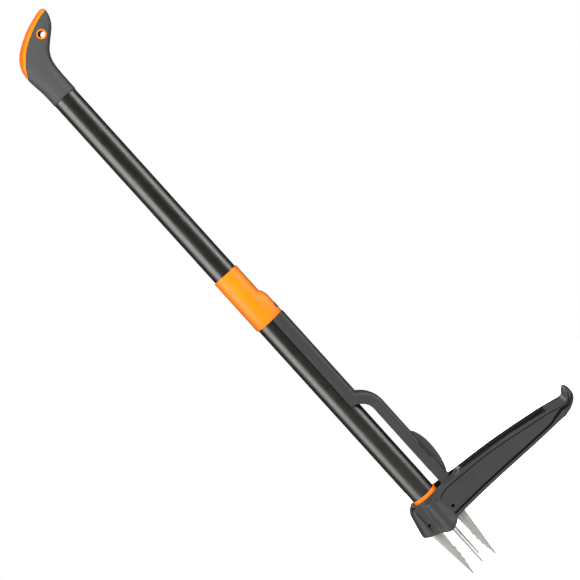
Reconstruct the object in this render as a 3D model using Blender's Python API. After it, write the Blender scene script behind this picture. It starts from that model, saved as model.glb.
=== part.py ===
"""Stand up weeder: a claw on a long tube, with a foot pedal, closing blades and a sliding ejector.

Lengths below are millimetres in the tool's own drawing: X runs from the tube's axis towards the
pedal, Y runs away from the near side, and Z is the height above the tip of the left blade.
finish_piece() turns them into metres and puts the origin at the middle of the hanging hole.
"""

import math

import bmesh
import bpy
from mathutils import Matrix, Vector

MM = 0.001
GAP = 0.3

# Hanging hole, which is the origin
HANG_X, HANG_Z = 35.8, 972.9
HANG_HOLE_R = 5.0
EYELET_R = 7.3

# Tube and the orange ring at its foot
TUBE_R = 18.5
TUBE_WALL = 1.5
TUBE_Z0, TUBE_Z1 = 127.7, 888.2
RING_R = 20.1
RING_Z0, RING_Z1 = 128.0, 137.0
FOOT_PIN_Z = 132.5

# Grip
GRIP_Z0 = 888.5
SPIGOT_LEN = 40.0
PAD_SEAM = 0.2

# Claw carrier inside the head
CARRIER_FLANGE_R = 19.6
CARRIER_BODY_R = 17.5
CARRIER_CORE_R = 8.2
EAR_Z0, EAR_Z1 = 94.0, 107.0
EAR_R = 5.6
BLADE_SLOT_HALF = 1.55

# Hinges
TILT_Z = 117.5
TILT_PIN_R = 4.0
TILT_PIN_END = 27.3
BOSS_R, BOSS_END = 7.0, 28.9
BLADE_PIN_Z = 99.5
BLADE_PIN_R = 2.0
SIDE_PIN_X = 22.0
FRONT_PIN_Y = 21.0

# Blades
BLADE_HALF = 1.25
BLADE_ROOT_Z = 78.0
RIGHT_BLADE_SHIFT = -3.5
SHORT_BLADE_TIP_Z = 11.5
BUMP_COUNT = 5
BUMP_TOP_Z, BUMP_LOW_Z = 49.5, 10.0
BUMP_DEPTH = 1.5

# Head moulding
HEAD_Z0, HEAD_Z1 = 79.5, 131.0
HEAD_HALF = 25.5
HEAD_END_X = 17.0
BULGE_X = 0.5
LEFT_RISE, RIGHT_RISE = 6.3, 4.7
HOLLOW = 2.75
HOLLOW_X = -24.5
WALL = 2.8
DECK = 3.2
PIN_HOLE_R = 2.6

# Opening around the tube and the rod
OPEN_TUBE_R = 22.4
OPEN_ROD_X, OPEN_ROD_R = 44.5, 11.0
RIM_WIDTH = 2.3
RIM_TOP = 132.3
FIN_NOTCH_X = 58.5
FIN_NOTCH_HALF = 2.2

# Pedal stations: X, top, bottom, half width, height of the top rim, top of the bottom rim
PEDAL = (
    (10.0, 130.3, 83.2, 23.4, 15.0, 89.4),
    (15.0, 130.6, 83.7, 25.1, 12.0, 89.6),
    (19.0, 130.8, 84.0, 25.1, 9.0, 89.8),
    (25.0, 130.9, 84.2, 24.8, 6.8, 90.0),
    (34.0, 130.8, 84.6, 24.0, 5.7, 90.4),
    (48.0, 130.4, 84.9, 22.0, 5.5, 90.7),
    (62.0, 129.8, 85.1, 20.0, 5.5, 91.0),
    (80.0, 129.0, 85.5, 18.5, 5.5, 91.3),
    (103.0, 127.7, 86.0, 17.9, 5.4, 91.7),
    (125.0, 125.5, 86.8, 18.8, 5.1, 92.4),
    (147.0, 122.8, 87.5, 20.1, 4.8, 93.0),
    (172.0, 119.2, 88.4, 21.8, 4.3, 94.0),
    (199.6, 115.0, 89.9, 23.5, 3.5, 95.2),
    (212.0, 112.4, 90.7, 24.3, 3.0, 98.6),
    (225.0, 109.7, 90.9, 25.2, 2.4, 102.2),
)
# Toe stations: bottom X, Z, top X, Z, half width, height of the top rim, top of the bottom rim
TOE = (
    (225.0, 90.9, 225.0, 109.7, 25.2, 2.4, 102.2),
    (237.0, 94.4, 235.4, 107.4, 25.8, 1.9, 104.2),
    (244.4, 98.2, 240.6, 108.6, 25.3, 2.0, 104.0),
    (249.3, 101.8, 244.0, 113.0, 23.6, 2.6, 105.4),
    (252.3, 105.4, 247.2, 116.8, 21.0, 3.0, 108.2),
    (253.9, 109.2, 250.0, 118.7, 17.6, 2.8, 111.0),
    (254.2, 112.4, 252.3, 117.6, 14.0, 1.8, 113.6),
)
TOE_STEPS = 12
RECESS = 2.4
RECESS_START, RECESS_FULL = 8.0, 14.0
DECK_DROP = 1.0
DECK_START = 60.0
SLOT_X0, SLOT_X1 = 66.0, 206.0
SLOT_HALF0, SLOT_HALF1 = 5.0, 6.4
CHANNEL_DEPTH = 14.0
RIB_X = (64.0, 100.0, 136.0, 172.0, 205.0)
RIB = 3.0
CAVITY_END_X = 57.5
TAB_X0, TAB_X1 = 58.6, 65.0
TAB_HALF = 7.0
TAB_Z0, TAB_Z1 = 124.0, 131.6

# Ejector
SLEEVE_R = 20.4
SLEEVE_Z0, SLEEVE_Z1 = 466.0, 557.0
SLEEVE_BORE_R = 18.8
SLEEVE_BUMP_X = 25.5
SCREW_Z = 477.5
SCREW_HEAD_R = 5.9
SCREW_SEAT_X = 23.4
CHANNEL_FRONT_X = 8.4
CHANNEL_X = 26.1
ROD_X0, ROD_X1 = 29.6, 46.6
ROD_HALF = 9.0
BEND_X, BEND_Z = 4.4, 275.0
ROD_Z0 = 86.3
FIN_Z0, FIN_Z1 = 138.5, 216.0
FIN_PEAK_X, FIN_PEAK_Z = 55.5, 183.0
FIN_HALF = 1.5
PLATE_Z0, PLATE_Z1 = 82.0, 86.0
PLATE_X = -1.8
PLATE_R = 14.0
PLATE_HUB_R = 4.0
PLATE_SLOT_HALF = 2.2
PLATE_SCREW_Y = 5.0


# ---------------------------------------------------------------- building blocks


def clear_scene():
    for item in list(bpy.data.objects):
        bpy.data.objects.remove(item, do_unlink=True)


def material(name, colour, roughness, metallic=0.0):
    made = bpy.data.materials.new(name)
    made.use_nodes = True
    shader = made.node_tree.nodes["Principled BSDF"]
    shader.inputs["Base Color"].default_value = (*colour, 1.0)
    shader.inputs["Roughness"].default_value = roughness
    shader.inputs["Metallic"].default_value = metallic
    return made


def object_from(bm, name="tool"):
    bmesh.ops.recalc_face_normals(bm, faces=bm.faces)
    mesh = bpy.data.meshes.new(name)
    bm.to_mesh(mesh)
    bm.free()
    made = bpy.data.objects.new(name, mesh)
    bpy.context.scene.collection.objects.link(made)
    return made


def loft(rings):
    """A closed solid through rings of equal length, capped at both ends."""
    bm = bmesh.new()
    loops = [[bm.verts.new(point) for point in ring] for ring in rings]
    count = len(loops[0])
    for low, high in zip(loops, loops[1:]):
        for i in range(count):
            j = (i + 1) % count
            bm.faces.new((low[i], low[j], high[j], high[i]))
    bm.faces.new(list(reversed(loops[0])))
    bm.faces.new(loops[-1])
    return object_from(bm)


def prism_z(outline, low, high):
    """An outline of (x, y) points, extruded along Z."""
    return loft([[(x, y, z) for x, y in outline] for z in (low, high)])


def prism_y(outline, low, high):
    """An outline of (x, z) points, extruded along Y."""
    return loft([[(x, y, z) for x, z in outline] for y in (low, high)])


def turned(profile, segments=64):
    """A closed (r, z) profile turned about Z, with no point on the axis."""
    bm = bmesh.new()
    loops = []
    for i in range(segments):
        angle = math.tau * i / segments
        c, s = math.cos(angle), math.sin(angle)
        loops.append([bm.verts.new((r * c, r * s, z)) for r, z in profile])
    count = len(profile)
    for i in range(segments):
        here, after = loops[i], loops[(i + 1) % segments]
        for a in range(count):
            b = (a + 1) % count
            bm.faces.new((here[a], after[a], after[b], here[b]))
    return object_from(bm)


def cylinder(radius, low, high, axis="Z", centre=(0.0, 0.0), segments=32):
    """A solid cylinder along an axis; centre gives the other two coordinates in order."""
    ring = [(radius * math.cos(a), radius * math.sin(a)) for a in angles(segments)]
    place = {
        "X": lambda u, v, w: (w, centre[0] + u, centre[1] + v),
        "Y": lambda u, v, w: (centre[0] + u, w, centre[1] + v),
        "Z": lambda u, v, w: (centre[0] + u, centre[1] + v, w),
    }[axis]
    return loft([[place(u, v, w) for u, v in ring] for w in (low, high)])


def box(low, high):
    corners = [(low[0], low[1]), (high[0], low[1]), (high[0], high[1]), (low[0], high[1])]
    return prism_z(corners, low[2], high[2])


def angles(count):
    return [math.tau * i / count for i in range(count)]


def arc(cx, cy, radius, start, end, steps):
    """Points from angle start to end, in degrees, both included."""
    points = []
    for i in range(steps + 1):
        a = math.radians(start + (end - start) * i / steps)
        points.append((cx + radius * math.cos(a), cy + radius * math.sin(a)))
    return points


def combine(target, tool, operation):
    """Applies one Boolean to target with tool, and removes tool."""
    step = target.modifiers.new("combine", "BOOLEAN")
    step.operation = operation
    step.solver = "EXACT"
    step.object = tool
    shown = target.evaluated_get(bpy.context.evaluated_depsgraph_get())
    mesh = bpy.data.meshes.new_from_object(shown)
    target.modifiers.clear()
    old = target.data
    target.data = mesh
    bpy.data.meshes.remove(old)
    bpy.data.objects.remove(tool, do_unlink=True)
    return target


def cut(target, *tools):
    for tool in tools:
        combine(target, tool, "DIFFERENCE")
    return target


def add(target, *tools):
    for tool in tools:
        combine(target, tool, "UNION")
    return target


def lerp(a, b, t):
    return a + (b - a) * t


def smooth_step(t):
    t = min(max(t, 0.0), 1.0)
    return t * t * (3.0 - 2.0 * t)


def spline(points, count):
    """count + 1 points on a Catmull-Rom curve through the given points."""
    dims = len(points[0])
    last = len(points) - 1
    made = []
    for i in range(count + 1):
        s = last * i / count
        k = min(int(s), last - 1)
        t = s - k
        p0, p1 = points[max(k - 1, 0)], points[k]
        p2, p3 = points[k + 1], points[min(k + 2, last)]
        made.append(tuple(
            0.5 * (2 * p1[d] + (p2[d] - p0[d]) * t
                   + (2 * p0[d] - 5 * p1[d] + 4 * p2[d] - p3[d]) * t * t
                   + (3 * p1[d] - p0[d] - 3 * p2[d] + p3[d]) * t ** 3)
            for d in range(dims)
        ))
    return made


def finish_piece(piece, name, look, pivot=(HANG_X, 0.0, HANG_Z), sharp=35.0):
    """Names the piece, gives it its material, and moves it to metres with its origin at pivot."""
    mesh = piece.data
    bm = bmesh.new()
    bm.from_mesh(mesh)
    bmesh.ops.remove_doubles(bm, verts=bm.verts, dist=0.004)
    bmesh.ops.dissolve_degenerate(bm, edges=bm.edges, dist=0.002)
    bmesh.ops.transform(bm, matrix=Matrix.Translation(-Vector(pivot)), verts=bm.verts)
    bmesh.ops.scale(bm, vec=(MM, MM, MM), verts=bm.verts)
    bm.to_mesh(mesh)
    bm.free()
    mesh.shade_smooth()
    mesh.set_sharp_from_angle(angle=math.radians(sharp))
    mesh.materials.clear()
    mesh.materials.append(look)
    piece.name = name
    mesh.name = name
    piece.location = (Vector(pivot) - Vector((HANG_X, 0.0, HANG_Z))) * MM
    return piece


# ---------------------------------------------------------------- shaft


def shaft_tube():
    inner = TUBE_R - TUBE_WALL
    profile = [(inner, TUBE_Z0), (TUBE_R, TUBE_Z0), (TUBE_R, TUBE_Z1), (inner, TUBE_Z1)]
    tube = turned(profile, 56)
    return cut(tube, cylinder(1.8, -TUBE_R - 2, TUBE_R + 2, "X", (0.0, FOOT_PIN_Z), 16))


def foot_pin():
    return cylinder(1.5, -TUBE_R, TUBE_R, "X", (0.0, FOOT_PIN_Z), 16)


def collar_ring():
    inner = TUBE_R + GAP
    profile = [(inner, RING_Z0), (RING_R - 0.5, RING_Z0), (RING_R, RING_Z0 + 1.2), (RING_R, RING_Z1 - 2.2)]
    profile += [(RING_R - 0.3, RING_Z1 - 1.0), (RING_R - 1.0, RING_Z1), (inner, RING_Z1)]
    return turned(profile, 56)


# Grip sections: back point X, Z, belly point X, Z, half depth in Y
GRIP = (
    (-19.2, 888.5, 19.6, 888.5, 19.4),
    (-19.1, 903.0, 19.5, 903.0, 19.3),
    (-19.8, 916.0, 19.7, 916.0, 19.2),
    (-21.3, 929.0, 20.3, 928.0, 18.8),
    (-22.0, 940.5, 22.4, 940.0, 18.2),
    (-20.8, 951.0, 27.5, 949.9, 17.2),
    (-16.0, 963.2, 34.5, 957.3, 16.0),
    (-7.6, 973.3, 41.2, 963.2, 14.8),
    (4.5, 981.8, 47.0, 968.1, 13.8),
    (19.1, 989.4, 51.7, 972.6, 12.9),
    (32.5, 994.7, 55.6, 977.6, 11.8),
    (43.5, 998.0, 58.5, 983.0, 10.2),
    (50.6, 999.8, 60.4, 988.0, 8.4),
    (55.4, 1000.3, 61.2, 992.2, 6.4),
    (58.6, 999.7, 61.5, 995.2, 4.2),
    (60.4, 998.8, 61.4, 997.2, 1.7),
)
PAD_EDGE = (
    (63.0, 995.9), (59.1, 994.7), (48.5, 992.1), (33.5, 986.7), (22.3, 981.4), (12.6, 976.0),
    (4.5, 970.6), (-1.6, 965.1), (-6.7, 959.7), (-11.5, 954.2), (-15.3, 948.8), (-18.7, 943.3),
    (-21.4, 939.4), (-27.0, 931.5),
)


def grip_ring(section, count=32, power=2.35):
    back_x, back_z, belly_x, belly_z, depth = section
    mid = Vector((0.5 * (back_x + belly_x), 0.0, 0.5 * (back_z + belly_z)))
    across = Vector((belly_x - back_x, 0.0, belly_z - back_z)) * 0.5
    ring = []
    for a in angles(count):
        c, s = math.cos(a), math.sin(a)
        u = math.copysign(abs(c) ** (2.0 / power), c)
        v = math.copysign(abs(s) ** (2.0 / power), s)
        ring.append(mid + across * u + Vector((0.0, depth * v, 0.0)))
    return ring


def grip_solid():
    rings = []
    for section in spline(GRIP, 30):
        blend = smooth_step((section[0] + 19.0 + section[1] - 905.0) / 40.0)
        rings.append(grip_ring(section, power=lerp(2.0, 2.5, blend)))
    return loft(rings)


def pad_region(offset):
    """Everything above the seam between the soft pad and the hard grip."""
    seam = [(x - offset * 0.5, z + offset * 0.86) for x, z in spline(PAD_EDGE, 34)]
    return prism_y(seam + [(-60.0, 960.0), (-20.0, 1040.0), (90.0, 1040.0), (90.0, 999.0)], -40.0, 40.0)


def grip_body():
    body = grip_solid()
    spigot = cylinder(TUBE_R - TUBE_WALL - GAP, GRIP_Z0 - SPIGOT_LEN, GRIP_Z0 + 4.0, segments=32)
    add(body, spigot)
    return cut(
        body,
        pad_region(-PAD_SEAM),
        cylinder(EYELET_R + GAP, -30.0, 30.0, "Y", (HANG_X, HANG_Z), 28),
    )


def grip_pad():
    return combine(grip_solid(), pad_region(PAD_SEAM), "INTERSECT")


def hang_eyelet():
    half, chamfer = 13.0, 0.9
    profile = [
        (HANG_HOLE_R, -half + chamfer), (HANG_HOLE_R + chamfer, -half), (EYELET_R - chamfer, -half),
        (EYELET_R, -half + chamfer), (EYELET_R, half - chamfer), (EYELET_R - chamfer, half),
        (HANG_HOLE_R + chamfer, half), (HANG_HOLE_R, half - chamfer),
    ]
    ring = turned(profile, 28)
    ring.data.transform(Matrix.Rotation(math.radians(90.0), 4, "X"))
    ring.data.transform(Matrix.Translation((HANG_X, 0.0, HANG_Z)))
    return ring


def turned_to(piece, quarter_turns):
    piece.data.transform(Matrix.Rotation(math.radians(90.0) * quarter_turns, 4, "Z"))
    return piece


def ear(pin_r, half_width):
    """One arm of the carrier along +X, rounded about its pin."""
    outline = [(0.0, EAR_Z0), (pin_r, BLADE_PIN_Z - EAR_R)]
    outline += arc(pin_r, BLADE_PIN_Z, EAR_R, -90.0, 90.0, 6)[1:]
    outline += [(0.0, EAR_Z1)]
    return prism_y(outline, -half_width, half_width)


def ear_cuts(pin_r):
    slot = box((CARRIER_CORE_R, -BLADE_SLOT_HALF, EAR_Z0 - 5.0), (40.0, BLADE_SLOT_HALF, 112.0))
    pin = cylinder(BLADE_PIN_R + 0.1, -12.0, 12.0, "Y", (pin_r, BLADE_PIN_Z), 20)
    return slot, pin


def claw_carrier():
    spigot_r = TUBE_R - TUBE_WALL - GAP
    body = cylinder(CARRIER_BODY_R, 106.0, 123.0, segments=36)
    add(
        body,
        cylinder(CARRIER_FLANGE_R, 122.4, TUBE_Z0 - GAP, segments=36),
        cylinder(spigot_r, 126.0, 165.0, segments=32),
        cylinder(CARRIER_CORE_R + 4.0, EAR_Z0 - 2.0, 108.0, segments=24),
    )
    for turns in range(4):
        half = 5.0 if turns % 2 == 0 else 4.0
        radius = SIDE_PIN_X if turns % 2 == 0 else FRONT_PIN_Y
        add(body, turned_to(ear(radius, half), turns))
    for turns in range(4):
        radius = SIDE_PIN_X if turns % 2 == 0 else FRONT_PIN_Y
        cut(body, *(turned_to(tool, turns) for tool in ear_cuts(radius)))
    return cut(
        body,
        cylinder(TILT_PIN_R + 0.15, -30.0, 30.0, "Y", (0.0, TILT_Z), 24),
        cylinder(1.8, -30.0, 30.0, "X", (0.0, FOOT_PIN_Z), 16),
    )


def tilt_pin():
    return cylinder(TILT_PIN_R, -TILT_PIN_END, TILT_PIN_END, "Y", (0.0, TILT_Z), 24)


def blade_pin(turns):
    radius = SIDE_PIN_X if turns % 2 == 0 else FRONT_PIN_Y
    half = 5.4 if turns % 2 == 0 else 4.4
    return turned_to(cylinder(BLADE_PIN_R, -half, half, "Y", (radius, BLADE_PIN_Z), 20), turns)


# ---------------------------------------------------------------- blades


def serrated_edge(shift, fit):
    """Inner edge from below the root down to the tip: round teeth along a gently leaning line."""
    line = [(17.9, BUMP_TOP_Z), (18.5, 33.5), (20.3, 17.0), (21.3, BUMP_LOW_Z)]
    points = []
    steps = 6 * BUMP_COUNT
    for i, (r, z) in enumerate(spline(line, steps)):
        wave = 0.5 - 0.5 * math.cos(math.tau * i / 6)
        fade = lerp(1.15, 0.75, i / steps)
        points.append((r + shift - BUMP_DEPTH * fade * wave ** 0.8, fit(z)))
    return points


def blade_outline(pin_r, shift, tip_z):
    def fit(z):
        return BLADE_ROOT_Z - (BLADE_ROOT_Z - z) * (BLADE_ROOT_Z - tip_z) / BLADE_ROOT_Z

    outline = [(24.1 + shift, fit(1.9)), (32.1 + shift, BLADE_ROOT_Z), (31.2 + shift, 86.0)]
    outline += arc(pin_r, BLADE_PIN_Z, 5.2, -20.0, 100.0, 8)
    outline += [(pin_r - 7.5, 108.6), (pin_r - 9.6, 107.0), (pin_r - 9.4, 97.0)]
    outline += [(14.6 + shift, 88.0), (16.1 + shift, 76.6), (16.9 + shift, 62.0)]
    outline += serrated_edge(shift, fit)
    outline += [(21.6 + shift, fit(4.0)), (21.9 + shift, fit(1.0)), (22.9 + shift, fit(0.0)), (23.7 + shift, fit(0.5))]
    return outline


def blade(turns, shift, tip_z):
    """A blade hanging in its slot; turns counts quarter turns from +X."""
    pin_r = SIDE_PIN_X if turns % 2 == 0 else FRONT_PIN_Y
    plate = prism_y(blade_outline(pin_r, shift, tip_z), -BLADE_HALF, BLADE_HALF)
    cut(plate, cylinder(BLADE_PIN_R + 0.15, -5.0, 5.0, "Y", (pin_r, BLADE_PIN_Z), 20))
    return turned_to(plate, turns)


# ---------------------------------------------------------------- pedal


def head_share(z):
    """0 at the top of the head and 1 at its foot."""
    return (HEAD_Z1 - z) / (HEAD_Z1 - HEAD_Z0)


def head_left(z, inset):
    return -33.3 - 9.0 * min(head_share(z), 0.92) + inset


def head_bulge(x, z):
    """Share of the bulge at x, from 1 on its crest to 0: wider at the foot, with hollow flanks."""
    across = min(abs(x - BULGE_X) / lerp(12.0, 16.6, head_share(z)), 1.0)
    return (1.0 - across ** 2.0) ** 1.35


def head_hollow(x, z):
    """Depth of the shallow hollow that runs from the left lobe to the pedal's side panel."""
    if x < BULGE_X:
        band = smooth_step((z - 80.0) / 12.0)
    else:
        band = smooth_step((z - 86.0) / 3.0) * smooth_step((124.5 - z) / 3.0)
    return HOLLOW * band * smooth_step((x - HOLLOW_X) / 2.5)


def head_half_width(x, z, inset):
    left, shoulder = head_left(z, inset), -22.0
    base = HEAD_HALF - inset
    if x < shoulder:
        reach = min((shoulder - x) / (shoulder - left), 1.0)
        base *= (1.0 - reach ** 2.6) ** (1.0 / 2.6)
    crest = lerp(4.3, 10.5, head_share(z))
    return base + lerp(-head_hollow(x, z), crest, head_bulge(x, z))


def head_foot(x):
    """How much higher the foot of the head is at x than under the bulge."""
    away = x - BULGE_X
    rise = RIGHT_RISE if away > 0.0 else LEFT_RISE
    return rise * smooth_step((abs(away) - 4.0) / 12.0)


def head_ring(z, inset, end_x, shrink=0.0, dive=0.0, lift=0.0):
    left = head_left(z, inset) + shrink
    xs = [lerp(-22.0, left, math.sin(math.radians(a))) for a in (78, 64, 50, 36, 22)]
    xs += [HOLLOW_X, HOLLOW_X + 1.2, HOLLOW_X + 2.5, -18.5]
    xs += [BULGE_X + 15.0 * t / 7.0 for t in range(-7, 8)]
    near = [(x, -max(head_half_width(x, z, inset) - shrink, 0.5)) for x in xs]
    near.append((end_x - 0.5 * shrink, near[-1][1] + dive))
    outline = [(left, 0.0)] + near + [(x, -y) for x, y in reversed(near)]
    return [(x, y, z + lift * head_foot(x)) for x, y in outline]


HEAD_LEVELS = (90.0, 100.0, 110.0, 120.0)


def head_outer():
    levels = [(HEAD_Z0, WALL + 2.0), (HEAD_Z0, 1.2), (HEAD_Z0 + 1.2, 0.0)]
    levels += [(z, 0.0) for z in (85.8, 87.5) + HEAD_LEVELS + (121.5, 123.0, 124.7, 128.0)]
    levels += [(130.2, 0.8), (HEAD_Z1, 2.4)]
    return loft([head_ring(z, 0.0, HEAD_END_X, shrink, 3.0, head_share(z)) for z, shrink in levels])


def head_cavity():
    levels = (HEAD_Z0 - 9.0, HEAD_Z0 - 2.0) + HEAD_LEVELS + (HEAD_Z1 - DECK,)
    return loft([head_ring(z, WALL, HEAD_END_X - 1.0) for z in levels])


def pedal_ring(low, high, half, rim, recess, floor, undercut, drop):
    """One section of the pedal, between a bottom and a top point in XZ, with its side recess."""
    height = math.dist(low, high)

    def at(down, y):
        """A point that many millimetres below the top."""
        share = 1.0 - down / height
        return (lerp(low[0], high[0], share), y, lerp(low[1], high[1], share))

    curve = min(height / 12.0, 1.0)
    brow = max(rim, 2.9 * curve)
    base = max(height - max(floor - low[1], 0.06 * height), brow + 2.0 * curve)
    foot = height - base
    inner = half - recess
    near = [
        at(drop, -0.4 * half), at(drop, -(half - 5.4)), at(0.25 * drop, -(half - 4.6)), at(0.0, -(half - 3.4)),
        at(0.5 * curve, -(half - 1.6)), at(1.6 * curve, -(half - 0.4)), at(2.8 * curve, -half), at(brow, -half),
        at(brow + 0.7 * curve, -inner), at(base - 1.2 * curve, -inner), at(base, -(inner - undercut)),
        at(height - 0.55 * foot, -(half - 0.4 - recess * 0.3)), at(height - 0.35 * foot, -(half - 0.4)),
        at(height - 0.17 * foot, -(half - 0.4)), at(height, -(half - 1.5)), at(height, -0.4 * half),
    ]
    return near + [(x, -y, z) for x, y, z in reversed(near)]


def pedal_outer():
    rings = []
    for x, top, bottom, half, rim, floor in PEDAL:
        inward = RECESS * smooth_step((x - RECESS_START) / (RECESS_FULL - RECESS_START))
        under = 1.6 * smooth_step((x - 165.0) / 45.0)
        drop = DECK_DROP * smooth_step((x - DECK_START) / 10.0)
        rings.append(pedal_ring((x, bottom), (x, top), half, rim, inward, floor, under, drop))
    for step, station in enumerate(spline(TOE, TOE_STEPS)):
        if step == 0:
            continue
        low_x, low_z, high_x, high_z, half, rim, floor = station
        fade = 1.0 - smooth_step(3.0 * step / TOE_STEPS)
        inward = lerp(0.4, RECESS, fade)
        rings.append(pedal_ring(
            (low_x, low_z), (high_x, high_z), half, rim, inward, floor, 1.6 * fade, DECK_DROP * fade))
    return loft(rings)


def pedal_at(x):
    """Top height and half width of the pedal at x, between its stations."""
    for here, after in zip(PEDAL, PEDAL[1:]):
        if x <= after[0]:
            t = (x - here[0]) / (after[0] - here[0])
            return lerp(here[1], after[1], t), lerp(here[3], after[3], t)
    return PEDAL[-1][1], PEDAL[-1][3]


def pocket(x0, x1, below_top, floor, wall=WALL):
    """A cutter inside the pedal's side walls from x0 to x1, from floor up to below_top under the top."""
    rings = []
    stations = [x0] + [s[0] for s in PEDAL if x0 < s[0] < x1] + [x1]
    for x in stations:
        top, half = pedal_at(x)
        inner = half - RECESS - wall
        z0 = floor if floor is not None else top - CHANNEL_DEPTH
        z1 = top - below_top
        rings.append([(x, -inner, z0), (x, inner, z0), (x, inner, z1), (x, -inner, z1)])
    return loft(rings)


def round_ended_slot():
    outline = arc(SLOT_X1 - SLOT_HALF1, 0.0, SLOT_HALF1, -90.0, 90.0, 10)
    outline += arc(SLOT_X0 + SLOT_HALF0, 0.0, SLOT_HALF0, 90.0, 270.0, 10)
    return prism_z(outline, 100.0, 140.0)


def hull_outline(grow, steps=14):
    """Outline of the opening: a circle about the tube joined by tangents to one about the rod."""
    big, small = OPEN_TUBE_R + grow, OPEN_ROD_R + grow
    tangent = math.degrees(math.acos((big - small) / OPEN_ROD_X))
    outline = arc(OPEN_ROD_X, 0.0, small, -tangent, tangent, steps)
    outline += arc(0.0, 0.0, big, tangent, 360.0 - tangent, 2 * steps)
    return outline


def pedal_housing():
    body = pedal_outer()
    add(body, head_outer(), prism_z(hull_outline(RIM_WIDTH), HEAD_Z1 - 6.0, RIM_TOP))
    cut(body, head_cavity(), pocket(12.0, CAVITY_END_X, DECK, HEAD_Z0 - 8.0))
    for x0, x1 in zip(RIB_X, RIB_X[1:]):
        cut(body, pocket(x0, x1 - RIB, CHANNEL_DEPTH - 1.0, HEAD_Z0 - 8.0))
    channel = pocket(RIB_X[0] + 1.0, RIB_X[-1] - RIB - 1.0, DECK, None, WALL + 1.0)
    cut(body, channel, round_ended_slot())
    for side in (-1.0, 1.0):
        low, high = sorted((side * 19.9, side * BOSS_END))
        boss = cylinder(BOSS_R, low, high, "Y", (0.0, TILT_Z), 32)
        add(body, boss)
        low, high = sorted((side * 15.0, side * (TILT_PIN_END + GAP)))
        cut(body, cylinder(TILT_PIN_R + 0.15, low, high, "Y", (0.0, TILT_Z), 24))
    cut(body, prism_z(hull_outline(0.0), HEAD_Z1 - 8.0, RIM_TOP + 5.0))
    for x in (-SIDE_PIN_X, SIDE_PIN_X):
        cut(body, cylinder(PIN_HOLE_R, -45.0, 45.0, "Y", (x, BLADE_PIN_Z), 24))
    notch = box((40.0, -FIN_NOTCH_HALF, 70.0), (FIN_NOTCH_X, FIN_NOTCH_HALF, 150.0))
    return cut(body, notch, tab_pocket(GAP))


def tab_outline(grow):
    points = [(TAB_X0 - grow, TAB_Z0 - grow), (TAB_X1 + grow, TAB_Z0 - grow)]
    points += arc(TAB_X1 - 2.4, TAB_Z1 - 2.4, 2.4 + grow, 0.0, 90.0, 5)
    points += arc(TAB_X0 + 2.0, TAB_Z1 - 2.0, 2.0 + grow, 90.0, 180.0, 5)
    return points


def tab_pocket(grow):
    outline = [(TAB_X0 - grow, TAB_Z0 - grow), (TAB_X1 + grow, TAB_Z0 - grow)]
    outline += [(TAB_X1 + grow, 140.0), (TAB_X0 - grow, 140.0)]
    return prism_y(outline, -TAB_HALF - grow, TAB_HALF + grow)


def cam_follower():
    """The smooth wear piece at the end of the opening, that the rod's cam bears on."""
    return prism_y(tab_outline(0.0), -TAB_HALF, TAB_HALF)


# ---------------------------------------------------------------- ejector


def sleeve_radius(angle, swell):
    """Outer radius of the sleeve: round, with a bump about +X."""
    off = abs((angle + math.pi) % math.tau - math.pi)
    side = 1.0 - smooth_step((math.degrees(off) - 2.0) / 52.0)
    return SLEEVE_R + (SLEEVE_BUMP_X - SLEEVE_R) * side * swell


def ejector_sleeve():
    levels = ((SLEEVE_Z0, 1.0, 0.5), (SLEEVE_Z0 + 0.8, 1.0, 0.0), (494.0, 1.0, 0.0), (498.0, 0.86, 0.0),
              (502.0, 0.55, 0.0), (506.0, 0.22, 0.0), (510.0, 0.04, 0.0), (514.0, 0.0, 0.0),
              (SLEEVE_Z1 - 0.8, 0.0, 0.0), (SLEEVE_Z1, 0.0, 0.5))
    rings = []
    for z, swell, shrink in levels:
        ring = []
        for a in angles(56):
            r = sleeve_radius(a, swell) - shrink
            ring.append((r * math.cos(a), r * math.sin(a), z))
        rings.append(ring)
    sleeve = loft(rings)
    return cut(
        sleeve,
        cylinder(SLEEVE_BORE_R, SLEEVE_Z0 - 5.0, SLEEVE_Z1 + 5.0, segments=56),
        box((14.0, -5.9, SLEEVE_Z0 - 5.0), (22.7, 5.9, 493.0)),
        cylinder(SCREW_HEAD_R + GAP, SCREW_SEAT_X, 30.0, "X", (0.0, SCREW_Z), 32),
        cylinder(2.35, 20.0, 30.0, "X", (0.0, SCREW_Z), 20),
    )


def sleeve_screw():
    head = cylinder(SCREW_HEAD_R, SCREW_SEAT_X + GAP, SLEEVE_BUMP_X, "X", (0.0, SCREW_Z), 32)
    add(head, cylinder(2.0, 19.7, SCREW_SEAT_X + 1.0, "X", (0.0, SCREW_Z), 20))
    recess = [(2.4 * math.cos(a), 2.4 * math.sin(a)) for a in angles(6)]
    socket = loft([[(x, y, SCREW_Z + z) for y, z in recess] for x in (SCREW_SEAT_X + 0.9, 27.0)])
    return cut(head, socket)


def channel_outline():
    """Section of the upper arm: it wraps the tube's +X side and is rounded outside."""
    bore = TUBE_R + GAP
    reach = math.degrees(math.acos((CHANNEL_FRONT_X + 0.2) / bore))
    inner = arc(0.0, 0.0, bore, reach, -reach, 18)
    outer = [(CHANNEL_FRONT_X, -18.3), (13.0, -17.6), (17.8, -15.6)]
    outer += arc(16.9, -6.6, 9.2, -68.0, -10.0, 6)
    outer += [(CHANNEL_X, -3.0)]
    outer += [(x, -y) for x, y in reversed(outer)]
    return inner + outer


def bend_frame(angle):
    """Point and outward direction on the bend, from 0 (rod, going down) to 90 degrees."""
    a = math.radians(angle)
    return math.cos(a), math.sin(a)


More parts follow.
